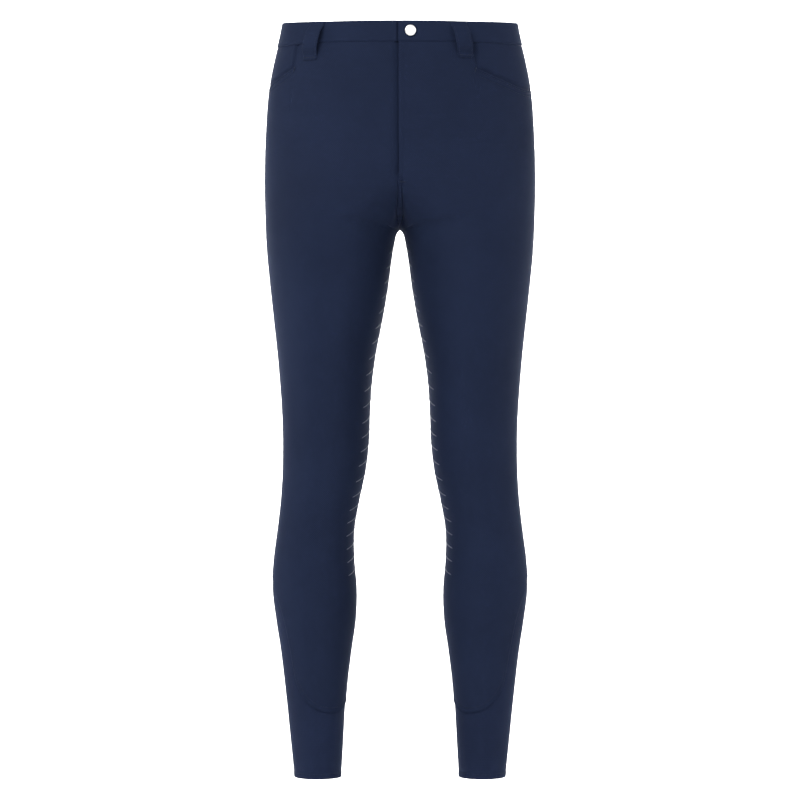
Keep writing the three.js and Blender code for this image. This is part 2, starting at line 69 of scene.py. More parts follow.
# Heights
HEM_Z = -968
CROTCH_Z = -257
FLY_END_Z = -198
CROTCH_SOFTENING = 4
FULLER = 0.85  # the worn cloth stands this much outside the frame's walls
JOIN = {"front": (-148, 1.25), "back": (-88, 1.86)}

# The waistband's edges
BAND_TOP_AT_SIDE = 11.8
BAND_TILT = 0.071
BAND_HEIGHT = 29.2
BAND_FRONT_NARROWING = 3.6
BAND_TOP_LIFT = 0.05
BAND_ARCH = 1.2  # the top edge's rise at the centre of the front
BAND_ARCH_POWER = 12
SEAM_DROP = {"left": 0, "right": 3.2}  # the band's seam hangs this much lower at one side seam
SEAM_DROP_FADE = 0.6

# Sizes of the figure at each height: half the width at the side seam, half the gap between the legs,
# the front's and back's depth, the side seam's depth, and how square the section is.
FIGURE_COLUMNS = ("z", "outer", "gap", "front", "back", "side", "square")
FIGURE = [
    (30, 150.0, 0, -103, 112, 5, 2.35),
    (14, 151.4, 0, -104, 113, 5, 2.35),
    (-16, 157.4, 0, -106, 117, 6, 2.35),
    (-36, 162.0, 0, -108, 121, 6, 2.35),
    (-62, 167.3, 0, -109, 126, 7, 2.34),
    (-88, 170.8, 0, -110, 131, 8, 2.32),
    (-127, 173.4, 0, -110, 136, 9, 2.3),
    (-166, 174.9, 0, -109, 138, 10, 2.27),
    (-205, 175.2, 0, -107, 136, 10, 2.24),
    (CROTCH_Z, 173.8, 0, -103, 122, 9, 2.2),
    (-272, 173.1, 7.7, -101.5, 117, 9, 2.2),
    (-296, 171.3, 11.8, -99, 109, 8, 2.18),
    (-335, 167.3, 17.0, -95, 99, 7, 2.15),
    (-374, 163.1, 23.7, -91, 91, 5, 2.12),
    (-413, 158.8, 31.4, -86.5, 84, 4, 2.1),
    (-452, 155.3, 36.9, -81.5, 77, 2, 2.1),
    (-491, 152.5, 39.6, -76, 70, 0, 2.1),
    (-530, 151.2, 41.0, -71, 64.5, -1, 2.1),
    (-569, 151.6, 45.4, -65.5, 60.5, -1, 2.08),
    (-608, 154.0, 53.6, -58.5, 60, 2, 2.06),
    (-647, 158.6, 60.2, -52.5, 64.5, 7, 2.04),
    (-686, 163.7, 60.2, -48.5, 70.5, 12, 2.02),
    (-725, 165.9, 57.1, -45.5, 72, 14, 2.0),
    (-764, 161.4, 58.4, -43, 68.5, 14, 2.0),
    (-803, 155.3, 63.8, -41, 62, 12, 2.0),
    (-842, 150.5, 68.6, -39.5, 56, 10, 2.0),
    (-881, 146.2, 71.7, -38, 51, 8, 2.0),
    (-920, 142.2, 73.7, -37, 47, 6, 2.0),
    (-959, 138.1, 76.0, -36, 44.5, 5, 2.0),
    (-985, 135.3, 77.8, -35.5, 43, 4, 2.0),
]

# Edges drawn across a panel: (share of the way from the side seam to the inseam or centre line, height)
CUFF_SEAM = {
    "front": [
        (0, -708), (0.07, -715), (0.134, -729), (0.189, -746), (0.232, -772), (0.262, -806),
        (0.3, -840), (0.37, -860.5), (0.46, -873), (0.57, -880), (0.72, -881.8), (0.87, -876), (1, -867),
    ],
    "back": [
        (0, -708), (0.12, -707), (0.26, -717), (0.4, -742), (0.54, -784), (0.68, -827), (0.82, -853),
        (1, -867),
    ],
}
POCKET_MOUTH = {
    "left": [
        (0, -76.2), (0.12, -77.6), (0.227, -77.6), (0.308, -74.9), (0.386, -70.2), (0.485, -62.6),
        (0.565, -55.5),
    ],
    "right": [
        (0, -74.5), (0.076, -73), (0.186, -68.2), (0.259, -63.4), (0.322, -57.6), (0.365, -52.8),
    ],
}
POCKET_CORNER = {"left": 0.565, "right": 0.365}
POCKET_TURN = {"left": 0.593, "right": 0.385}

LEG_ROWS = 24
RISE_ROWS = 12
SIDE_HEIGHT_AT_CROTCH_ROW = CROTCH_Z + 52
ARC_STEPS = 60
FLY_LAP = 0.5
BAND_LAP = 0.9
FLY_LAP_FADE = 8
TYPICAL_WIDTH = 260  # about the length of a front or back across, along the cloth

# Profiles across seams, edges and hems: each row is a ridge's height, its distance from the line and its
# width in mm. A height below 0 is a dip.
MOUTH_STITCHES = (2.6, 8.0)  # two rows of stitches run this far below a pocket's mouth
CUFF_STITCH_UP = 6.2  # a row of stitches this far above the cuff's seam
SEAM = [(-1.0, 0, 0.9), (0.25, 3.4, 2.0)]
PANEL_TOP = [(-0.6, 0, 1.1)]
MOUTH_LIP = [(0.5, 0, 2.4), (-0.6, 0, 0.35)] + [(-0.32, below, 0.7) for below in MOUTH_STITCHES]
CUFF_LIP = [(0.45, 0, 1.6), (-0.35, CUFF_STITCH_UP, 0.9)]
FLY_OVER = [(0.6, 0, 3.2), (-0.4, 0, 0.4)]
FLY_UNDER = [(-0.5, 0, 1.1)]
CENTRE_STRIP = [(-0.15, 0, 0.5), (0.12, 5, 2)]
BAND_TOP_ROLL = [(-1.15, 0, 0.85), (0.15, 4, 3)]
BAND_LOW_ROLL = [(-0.75, 0, 0.8), (0.3, 3.4, 2.4)]
BAND_LINING_ROLL = [(1.0, 0, 0.85)]
LOOP_EDGE = [(-0.75, 0, 0.5), (-0.2, 2.4, 0.7)]
LOOP_END = [(-0.5, 0, 0.6)]
LOOP_BACK_EDGE = [(0.25, 0, 0.5)]
HEM_PROFILE = [(-0.55, 0, 0.45), (0.12, 3.5, 2), (-0.22, 6.6, 0.5)]


class Curve:
    """A smooth curve through a table's points, straight past its ends."""

    def __init__(self, points):
        ordered = sorted(points)
        self.x = np.array([p[0] for p in ordered], float)
        self.y = np.array([p[1] for p in ordered], float)
        lower = np.maximum(np.arange(len(ordered)) - 1, 0)
        upper = np.minimum(np.arange(len(ordered)) + 1, len(ordered) - 1)
        self.slope = (self.y[upper] - self.y[lower]) / (self.x[upper] - self.x[lower])

    def __call__(self, t):
        t = np.asarray(t, float)
        i = np.clip(np.searchsorted(self.x, t) - 1, 0, len(self.x) - 2)
        h = self.x[i + 1] - self.x[i]
        u = np.clip((t - self.x[i]) / h, 0, 1)
        inside = (
            (2 * u**3 - 3 * u**2 + 1) * self.y[i]
            + (u**3 - 2 * u**2 + u) * h * self.slope[i]
            + (3 * u**2 - 2 * u**3) * self.y[i + 1]
            + (u**3 - u**2) * h * self.slope[i + 1]
        )
        before = self.slope[0] * np.minimum(t - self.x[0], 0)
        after = self.slope[-1] * np.maximum(t - self.x[-1], 0)
        return inside + before + after


def smooth(t):
    t = np.clip(t, 0, 1)
    return t * t * (3 - 2 * t)


def mix(a, b, t):
    return a + (b - a) * t


def bell(distance, width):
    """1 at a line and 0 well away from it."""
    return np.exp(-((distance / width) ** 2))


def profile(distance, ridges):
    """The height of a profile's ridges and dips at a distance from its line."""
    return sum(height * bell(distance - at, width) for height, at, width in ridges)


def walked_along(points):
    """The way walked along a line up to each of its points."""
    return np.concatenate([[0], np.cumsum(np.linalg.norm(np.diff(points, axis=0), axis=1))])


# The figure: the cloth's outer face before any fold or seam


def soften(x):
    return np.sqrt(x * x + CROTCH_SOFTENING * x)


def sharpen(x):
    return (np.sqrt(CROTCH_SOFTENING**2 + 4 * x * x) - CROTCH_SOFTENING) / 2


def figure_curve(column, change=lambda v: v, highest=None):
    at = FIGURE_COLUMNS.index(column)
    rows = [r for r in FIGURE if highest is None or r[0] <= highest]
    return Curve([(r[0], change(float(r[at]))) for r in rows])


OUTER = figure_curve("outer", lambda v: sharpen(v + FULLER))
GAP = figure_curve("gap", lambda v: sharpen(max(0, v - FULLER)), CROTCH_Z)
FRONT = figure_curve("front", lambda v: v - FULLER)
BACK = figure_curve("back", lambda v: v + FULLER)
SIDE = figure_curve("side")
SQUARE = figure_curve("square")


def section(z, is_front):
    """One half's outline at height z, as a squared ellipse: its middle, radii and squareness."""
    outer = OUTER(z)
    cy = SIDE(z)
    ry = np.where(is_front, FRONT(z) - cy, BACK(z) - cy)
    join_z = np.where(is_front, JOIN["front"][0], JOIN["back"][0])
    ease = np.where(is_front, JOIN["front"][1], JOIN["back"][1])
    below = np.clip((join_z - z) / (join_z - CROTCH_Z), 0, 1) ** ease
    in_leg = (outer + np.maximum(0, GAP(np.minimum(z, CROTCH_Z)))) / 2
    cx = np.where(z <= CROTCH_Z, in_leg, outer * below / (1 + below))
    return cx, outer - cx, cy, ry, SQUARE(z)


def section_point(shape, turn):
    cx, rx, cy, ry, n = shape
    c = np.cos(turn)
    x = cx + rx * np.sign(c) * np.abs(c) ** (2 / n)
    y = cy + ry * np.abs(np.sin(turn)) ** (2 / n)
    return soften(np.maximum(0, x)), y


def arcs(half, z):
    """The arc from the side seam to the inseam or centre line, and its length up to each step."""
    shape = section(z, half == "front")
    cut = np.where(z > CROTCH_Z, (shape[0] / shape[1]) ** (shape[4] / 2), 1)
    end = np.arccos(-np.minimum(1, cut))
    turns = np.linspace(0, 1, ARC_STEPS + 1)[:, None] * end
    x, y = section_point(shape, turns)
    steps = np.hypot(np.diff(x, axis=0), np.diff(y, axis=0))
    return shape, end, np.vstack([np.zeros_like(z), np.cumsum(steps, axis=0)])


HEIGHT_SAMPLES = np.linspace(-990, 40, 4001)
LENGTH_SAMPLES = {half: arcs(half, HEIGHT_SAMPLES)[2][-1] for half in ("front", "back")}


def arc_length(half, z):
    """Length of the cloth from the side seam to the inseam or centre line at height z."""
    return np.interp(z, HEIGHT_SAMPLES, LENGTH_SAMPLES[half])


def skin(half, z, across):
    """Points of the figure at height z, a share of the way across. Past 1 they go over the centre."""
    z, across = np.broadcast_arrays(np.asarray(z, float), np.asarray(across, float))
    shape_out = z.shape
    z = z.ravel()
    across = across.ravel()
    shape, end, lengths = arcs(half, z)
    share = np.where(across > 1, 2 - across, np.maximum(0, across))
    wanted = share * lengths[-1]
    at = np.clip((lengths < wanted).sum(axis=0) - 1, 0, ARC_STEPS - 1)
    one = np.arange(len(z))
    low = lengths[at, one]
    part = (wanted - low) / (lengths[at + 1, one] - low)
    x, y = section_point(shape, end * (at + part) / ARC_STEPS)
    return np.stack([np.where(across > 1, -x, x), y, z], axis=-1).reshape(shape_out + (3,))


def figure_field(x, y, z):
    cx, rx, cy, ry, n = section(z, y < SIDE(z))
    across = np.abs(sharpen(np.abs(x)) - cx) / rx
    return (across**n + np.abs((y - cy) / ry) ** n) ** (1 / n)


NORMAL_STEP = 0.4


def skin_normal(points):
    """Outward directions, from the figure's change over a small step each way."""
    x, y, z = np.moveaxis(points, -1, 0)
    h = NORMAL_STEP
    slope = np.stack(
        [
            figure_field(x + h, y, z) - figure_field(x - h, y, z),
            figure_field(x, y + h, z) - figure_field(x, y - h, z),
            figure_field(x, y, z + h) - figure_field(x, y, z - h),
        ],
        axis=-1,
    )
    return slope / np.linalg.norm(slope, axis=-1, keepdims=True)


HALVINGS = 26


def across_at_x(half, z, x):
    """Where across the section the cloth is x from the centre plane."""
    z, x = np.broadcast_arrays(np.asarray(z, float), np.asarray(x, float))
    low = np.zeros(z.shape)
    high = np.ones(z.shape)
    for _ in range(HALVINGS):
        middle = (low + high) / 2
        outside = skin(half, z, middle)[..., 0] > np.abs(x)
        low = np.where(outside, middle, low)
        high = np.where(outside, high, middle)
    return np.where(x < 0, 2 - low, low)


def forward_share(y):
    return np.clip(y / float(FRONT(0)), 0, 1)


def band_top(y):
    arch = BAND_ARCH * forward_share(y) ** BAND_ARCH_POWER
    return BAND_TOP_AT_SIDE + BAND_TILT * y + BAND_TOP_LIFT + arch


def band_seam(y):
    narrowing = BAND_FRONT_NARROWING * forward_share(y) ** 2
    return BAND_TOP_AT_SIDE + BAND_TILT * y - BAND_HEIGHT + narrowing


ACROSS_SAMPLES = np.linspace(-0.02, 1.2, 4001)
WAIST_PASSES = 5  # an edge's height depends on its depth, and its depth on its height


def waist_line(edge, half, side_drop=0):
    """Height of one of the waistband's edges, by the share of the way across."""
    z = np.zeros(len(ACROSS_SAMPLES))
    drop = side_drop * (1 - smooth(ACROSS_SAMPLES / SEAM_DROP_FADE))
    for _ in range(WAIST_PASSES):
        z = edge(skin(half, z, ACROSS_SAMPLES)[..., 1]) - drop
    return lambda across: np.interp(across, ACROSS_SAMPLES, z)


WAIST_SEAM = {
    half: {side: waist_line(band_seam, half, SEAM_DROP[side]) for side in SIDES} for half in ("front", "back")
}
WAIST_TOP = {half: waist_line(band_top, half) for half in ("front", "back")}
CUFF_CURVE = {half: Curve(points) for half, points in CUFF_SEAM.items()}
MOUTH_CURVE = {side: Curve(points) for side, points in POCKET_MOUTH.items()}


def front_edge(side, across):
    """Height of a front panel's upper edge: the pocket mouth, its turn, then the waist seam."""
    corner = POCKET_CORNER[side]
    turn = POCKET_TURN[side]
    seam = WAIST_SEAM["front"][side](across)
    up_turn = np.clip((across - corner) / (turn - corner), 0, 1)
    return mix(MOUTH_CURVE[side](np.minimum(across, corner)), seam, up_turn)


RISE_SAMPLES = 401


def rise_curve(half):
    """Heights up the centre seam, evenly spaced along the cloth from the crotch to the waist."""
    top = float(WAIST_SEAM[half]["left"](1))
    z = mix(CROTCH_Z, top, np.linspace(0, 1, RISE_SAMPLES) ** 2)
    walked = walked_along(skin(half, z, 1.0))
    return lambda share: np.interp(share, walked / walked[-1], z)


RISE = {half: rise_curve(half) for half in ("front", "back")}


CUFF_FOLLOWED = 0.6  # the rows follow the cuff's seam over this share of the leg
EDGE_FOLLOWED_FROM = 2  # and the top edge from this many rows above the crotch


def row_height(half, side, row, across):
    """Height of a leg panel's row. Rows follow the cuff seam, dip to the crotch and end at the top edge."""
    low_side = CUFF_CURVE[half](0)
    low_inner = CUFF_CURVE[half](1)
    top_side = WAIST_SEAM[half][side](0)
    up = row / LEG_ROWS
    rise = np.clip(up - 1, 0, None) * LEG_ROWS / RISE_ROWS
    outer = np.where(
        up <= 1,
        mix(low_side, SIDE_HEIGHT_AT_CROTCH_ROW, up),
        mix(SIDE_HEIGHT_AT_CROTCH_ROW, top_side, rise),
    )
    inner = np.where(up <= 1, mix(low_inner, CROTCH_Z, up), RISE[half](rise))
    bottom_shift = CUFF_CURVE[half](across) - mix(low_side, low_inner, smooth(across))
    edge = front_edge(side, across) if half == "front" else WAIST_SEAM[half][side](across)
    top_shift = edge - mix(top_side, RISE[half](1), smooth(across))
    return (
        mix(outer, inner, smooth(across))
        + bottom_shift * (1 - smooth(row / (LEG_ROWS * CUFF_FOLLOWED)))
        + top_shift * smooth((row - LEG_ROWS - EDGE_FOLLOWED_FROM) / (RISE_ROWS - EDGE_FOLLOWED_FROM))
    )


# Creases: soft troughs and ridges, each with its own place, length, width and depth.
# (side, half, across and height where it starts, across and height where it ends, bow in mm,
#  width in mm, depth in mm; a depth below 0 is a ridge)
CREASES = [
    ("left", "front", 0.90, -238, 0.62, -208, 5, 14, 0.45),
    ("right", "front", 0.90, -234, 0.66, -206, 4, 13, 0.5),
    ("left", "front", 0.72, -585, 0.98, -565, 3, 10, 0.5),
    ("left", "front", 0.60, -640, 0.96, -622, -4, 11, 0.4),
    ("right", "front", 0.70, -578, 0.98, -560, 3, 10, 0.5),
    ("right", "front", 0.64, -634, 0.97, -615, -4, 11, 0.45),
    ("left", "front", 0.05, -560, 0.34, -590, 4, 12, 0.4),
    ("right", "front", 0.05, -568, 0.30, -596, 4, 12, 0.4),
    ("left", "front", 0.03, -118, 0.30, -135, -4, 15, -0.4),
    ("left", "front", 0.25, -905, 0.85, -897, 3, 7, 0.3),
    ("left", "front", 0.15, -932, 0.62, -938, -3, 7, 0.25),
    ("right", "front", 0.30, -901, 0.90, -908, 3, 7, 0.3),
    ("right", "front", 0.20, -936, 0.70, -930, -3, 7, 0.25),
    ("left", "back", 0.97, -262, 0.60, -243, -7, 14, 1.0),
    ("right", "back", 0.97, -259, 0.57, -238, -7, 14, 1.1),
    ("left", "back", 0.96, -286, 0.62, -268, -5, 12, 0.8),
    ("right", "back", 0.96, -290, 0.60, -269, -6, 12, 0.9),
    ("left", "back", 0.95, -314, 0.68, -300, -4, 11, 0.5),
    ("right", "back", 0.95, -318, 0.70, -303, -4, 11, 0.5),
    ("left", "back", 0.15, -566, 0.86, -576, 6, 10, 1.1),
    ("left", "back", 0.28, -594, 0.92, -586, -5, 9, 0.8),
    ("left", "back", 0.10, -540, 0.62, -551, 5, 11, 0.6),
    ("left", "back", 0.40, -614, 0.95, -622, 4, 10, 0.5),
    ("right", "back", 0.12, -571, 0.84, -562, 6, 10, 1.1),
    ("right", "back", 0.30, -588, 0.94, -598, -5, 9, 0.85),
    ("right", "back", 0.12, -546, 0.66, -538, 5, 11, 0.6),
    ("right", "back", 0.36, -619, 0.93, -608, 4, 10, 0.5),
    ("left", "back", 0.20, -900, 0.80, -910, 3, 7, 0.4),
    ("right", "back", 0.22, -908, 0.82, -899, 3, 7, 0.4),
    ("left", "back", 0.30, -936, 0.90, -930, -2, 7, 0.3),
    ("right", "back", 0.26, -929, 0.86, -937, -2, 7, 0.3),
]
CREASE_POINTS = 9
CREASE_REACH = 3.2  # widths from its line within which a crease moves the cloth
CREASE_WIDENING = (0.7, 1.15)  # a crease is narrower where it starts than where it ends
CREASE_TAPER = 0.8
CREASE_SHOULDER = 0.75  # how high the cloth rises beside a trough


def crease_lines():
    """Each crease as a line of points in space, with its width and depth."""
    lines = []
    t = np.linspace(0, 1, CREASE_POINTS)
    for side, half, a0, z0, a1, z1, bow, width, depth in CREASES:
        z = mix(z0, z1, t) + bow * np.sin(math.pi * t)
        points = skin(half, z, mix(a0, a1, t))
        if side == "right":
            points = points * (-1, 1, 1)
        lines.append((points, width, depth))
    return lines


CREASE_LINES = crease_lines()

# The crotch: a valley that deepens towards it in front, and the rounded top of the gap between the legs
VALLEY_WIDTH = 6.5
VALLEY_DEPTH = 5.0
VALLEY_FROM_Z = -200
VALLEY_LENGTH = 52
VALLEY_END_Z = -294
VALLEY_FADE = 24
FRONT_FROM_Y = 30
INNER_LEG_WIDTH = 12
ROUNDING_Z = -262.5
ROUNDING_HEIGHT = 7
ROUNDING_DEPTH = 1.0
ROUNDING_START = 2


def crotch_relief(points):
    x, y, z = np.moveaxis(points, -1, 0)
    in_front = smooth((-y - FRONT_FROM_Y) / FRONT_FROM_Y)
    deepening = smooth((VALLEY_FROM_Z - z) / VALLEY_LENGTH) * smooth((z - VALLEY_END_Z) / VALLEY_FADE)
    valley = VALLEY_DEPTH * in_front * deepening * bell(x, VALLEY_WIDTH)
    inner_leg = bell(x, INNER_LEG_WIDTH) * (1 - in_front)
    rounding = ROUNDING_DEPTH * inner_leg * bell(z - ROUNDING_Z, ROUNDING_HEIGHT)
    return -valley - rounding * smooth((CROTCH_Z - z) / ROUNDING_START)


def relief(points):
    """How far the creases raise or lower the cloth at each point of the figure."""
    flat = points.reshape(-1, 3)
    raised = np.zeros(len(flat))
    strength = settings().crease_strength
    for line, width, depth in CREASE_LINES:
        reach = CREASE_REACH * width
        near = np.all((flat > line.min(axis=0) - reach) & (flat < line.max(axis=0) + reach), axis=1)
        if not near.any():
            continue
        p = flat[near]
        nearest = np.full(len(p), np.inf)
        along = np.zeros(len(p))
        for k in range(len(line) - 1):
            step = line[k + 1] - line[k]
            t = np.clip((p - line[k]) @ step / (step @ step), 0, 1)
            away = np.linalg.norm(p - line[k] - t[:, None] * step, axis=1)
            closer = away < nearest
            nearest = np.where(closer, away, nearest)
            along = np.where(closer, (k + t) / (len(line) - 1), along)
        taper = np.sin(math.pi * np.clip(along, 0, 1)) ** CREASE_TAPER
        r = nearest / (width * mix(*CREASE_WIDENING, along))
        raised[near] += depth * strength * taper * (CREASE_SHOULDER * r**2 - 1) * bell(r, 1)
    return raised.reshape(points.shape[:-1]) + crotch_relief(points)


def figure_points(half, side, z, across):
    points = skin(half, z, across)
    normals = skin_normal(points)
    flip = np.array([-1 if side == "right" else 1, 1, 1])
    return points * flip, normals * flip


def place(half, side, z, across, out):
    """Points of the cloth a distance out from the figure, creases included."""
    points, normals = figure_points(half, side, z, across)
    return points + normals * (relief(points) + out)[..., None], normals


EASING_PASSES = 60
EASING_HEIGHT = 16
EASING_CLEAR = 9  # the easing starts this far from the centre seam
EASING_FADE = 14
EASING_SHARE = 0.5


def ease_thigh(points, normals):
    """Round off the thighs across the crotch's height, where one section turns into two."""
    beside = smooth((np.abs(points[..., 0]) - EASING_CLEAR) / EASING_FADE)
    weight = bell(points[..., 2] - CROTCH_Z, EASING_HEIGHT) * beside
    weight = EASING_SHARE * weight[1:-1, :, None]
    for _ in range(EASING_PASSES):
        for grid in (points, normals):
            grid[1:-1] += weight * ((grid[:-2] + grid[2:]) / 2 - grid[1:-1])
    return points, normals / np.linalg.norm(normals, axis=-1, keepdims=True)


# Mesh building


def grid_faces(rows, columns, start=0, ring=False, flip=False):
    faces = []
    cells = columns if ring else columns - 1
    for i in range(rows - 1):
        for j in range(cells):
            a = start + i * columns + j
            b = start + i * columns + (j + 1) % columns
            quad = (a, a + columns, b + columns, b)
            faces.append(quad[::-1] if flip else quad)
    return faces


def shell_mesh(outer, inner, uv, ring=False, flip=False):
    """A closed wall between two matching grids of points."""
    rows, columns = outer.shape[:2]
    points = np.concatenate([outer.reshape(-1, 3), inner.reshape(-1, 3)])
    uvs = np.concatenate([uv.reshape(-1, 2), uv.reshape(-1, 2)])
    size = rows * columns
    faces = grid_faces(rows, columns, 0, ring, flip) + grid_faces(rows, columns, size, ring, not flip)

    def rim(edge, turned):
        pairs = list(zip(edge, edge[1:]))
        if ring:
            pairs.append((edge[-1], edge[0]))
        for a, b in pairs:
            quad = (a, b, b + size, a + size)
            faces.append(quad[::-1] if turned != flip else quad)

    rim(list(range(columns)), False)
    rim(list(range(size - columns, size)), True)
    if not ring:
        left = list(range(0, size, columns))
        right = list(range(columns - 1, size, columns))
        rim(left, True)
        rim(right, False)
    return points, faces, uvs


CLOTH_SMOOTH_ANGLE = 48  # degrees
SMALL_SMOOTH_ANGLE = 60


def make_object(name, points, faces, material, uvs=None, smooth_angle=CLOTH_SMOOTH_ANGLE):
    mesh = bpy.data.meshes.new(name)
    mesh.from_pydata((np.asarray(points) * MM).tolist(), [], faces)
    mesh.validate()
    if uvs is not None:
        layer = mesh.uv_layers.new(name="cloth")
        corner = np.empty(len(mesh.loops), dtype=np.int64)
        mesh.loops.foreach_get("vertex_index", corner)
        layer.data.foreach_set("uv", (uvs[corner] * MM).ravel())
    mesh.polygons.foreach_set("use_smooth", [True] * len(mesh.polygons))
    mesh.set_sharp_from_angle(angle=math.radians(smooth_angle))
    mesh.materials.append(material)
    obj = bpy.data.objects.new(name, mesh)
    bpy.context.scene.collection.objects.link(obj)
    return obj


def finish_piece(obj, slot, *nodes):
    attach(obj, BODY)
    if nodes:
        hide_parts(*nodes)
    return obj


def cloth_piece(
    node, outer, inner, uv, material, slot="main_cloth", ring=False, flip=False
):
    points, faces, uvs = shell_mesh(outer, inner, uv, ring, flip)
    obj = finish_piece(make_object(node + "_cloth", points, faces, material, uvs), slot, node)


# Leg panels

LEG_HEIGHT = 640
RISE_HEIGHT = 230
FLY_TUCK = 2.9
FLY_TUCK_WIDTH = 6.2
EDGE_OFFSETS = np.array([0, 0.35, 0.8, 1.4, 2.1, 2.8, 3.6, 4.8])  # columns beside a seam
BOTTOM_ROWS = [0, 0.018, 0.04, 0.07, 0.1, 0.14, 0.19, 0.26, 0.34]
TOP_ROWS = [0, 0.015, 0.035, 0.06, 0.09, 0.12, 0.16, 0.2, 0.25, 0.3, 0.36, 0.42, 0.48, 0.55, 0.65, 0.78]
PANEL_COLUMNS = 84
WIDTH_PASSES = 2
TURN_COLUMNS = 16  # more columns stand close together where a pocket's mouth turns up
TURN_REACH = (0.03, 0.035)
MOUTH_FADE = 0.006
GROOVE_AT = 1.7  # two grooves run beside the front's centre seam, deeper towards the crotch
GROOVE_WIDTH = 0.75
GROOVE_DEPTH = (1.2, 3.4)
GROOVE_FREE = 0.6  # a groove deeper than this dents the cloth's inner face too
PUCKER_HEIGHT = 0.1
PUCKER_BESIDE = 3
SIDE_SEED = 1.3
INNER_SEED = 2.9
CUFF_LIP_SHARE = (0.12, 1)  # the cuff's seam stands out little on the outer side and fully towards the shin
CUFF_LIP_FROM = 0.27
CUFF_LIP_OVER = 0.16
CUFF_LIP_BACK = 0.8
CUFF_LIP_SINK = 0.6
CROSSING_HEIGHT = 9  # four seams meet at the crotch, and the inseam's dip fades over this height
CROSSING_SHARE = 0.9
RISE_START = 1
RISE_FADE = 5


def panel_rows():
    top = LEG_ROWS + RISE_ROWS
    spacing = settings().row_spacing
    leg = np.linspace(BOTTOM_ROWS[-1], LEG_ROWS, int(LEG_HEIGHT / spacing))[1:]
    rise = np.linspace(LEG_ROWS, top - TOP_ROWS[-1], int(RISE_HEIGHT / spacing))[1:-1]
    return np.concatenate([BOTTOM_ROWS, leg, rise, top - np.array(TOP_ROWS[::-1])])


def front_end(side, z, length):
    """Where a front panel ends at the centre. At the fly the left front laps over the right one."""
    lap = smooth((z - FLY_END_Z) / FLY_LAP_FADE)
    shift = FLY_LAP if side == "left" else -FLY_LAP
    return 1 + lap * shift / length


SLOPE_STEP = 0.002


def slope_share(edge_height, across, length):
    """How much shorter the way straight to an edge is than the way up or down to it."""
    slope = (edge_height(across + SLOPE_STEP) - edge_height(across - SLOPE_STEP)) / (2 * SLOPE_STEP * length)
    return 1 / np.sqrt(1 + slope**2)


# Height, turns a millimetre and shift of the waves that make cloth uneven along its sewing
PUCKER_WAVES = [(0.5, 0.61, 1), (0.3, 1.07, 2.1), (0.3, 0.23, 0.7)]


def pucker(walk, seed):
    """Small uneven swellings along a row of sewing."""
    return sum(height * np.sin(walk * turns + shift * seed) for height, turns, shift in PUCKER_WAVES)


def centre_profile(side, z, distance):
    """The front's centre: the lapped fly above, and a flat seam strip below it."""
    fly = smooth((z - FLY_END_Z) / FLY_LAP_FADE)
    lapped = profile(distance, FLY_OVER if side == "left" else FLY_UNDER)
    towards_crotch = smooth((VALLEY_FROM_Z - z) / VALLEY_LENGTH)
    grooves = -mix(*GROOVE_DEPTH, towards_crotch) * bell(distance - GROOVE_AT, GROOVE_WIDTH)
    return mix(grooves + profile(distance, CENTRE_STRIP), lapped, fly)


def fly_tuck(half, side, z, distance):
    """How far the right front's edge is tucked in behind the left one's."""
    if half == "back" or side == "left":
        return np.zeros_like(z)
    return -FLY_TUCK * smooth((z - FLY_END_Z) / FLY_LAP_FADE) * bell(distance, FLY_TUCK_WIDTH)


PRESSED_HEIGHT = 0.8
PRESSED_X = (2.0, 1.6)  # its place and width across
PRESSED_UP = (5.5, 5)  # its place above the fly's end, and its height


def pressed_end(side, z, x):
    """The small raised end of the fly, above its bar of stitches."""
    if side == "right":
        return np.zeros_like(z)
    up = bell(z - FLY_END_Z - PRESSED_UP[0], PRESSED_UP[1])
    return PRESSED_HEIGHT * bell(x - PRESSED_X[0], PRESSED_X[1]) * up


def puckered(z, seed, from_seam):
    return PUCKER_HEIGHT * pucker(z, seed) * bell(from_seam - PUCKER_BESIDE, PUCKER_BESIDE)


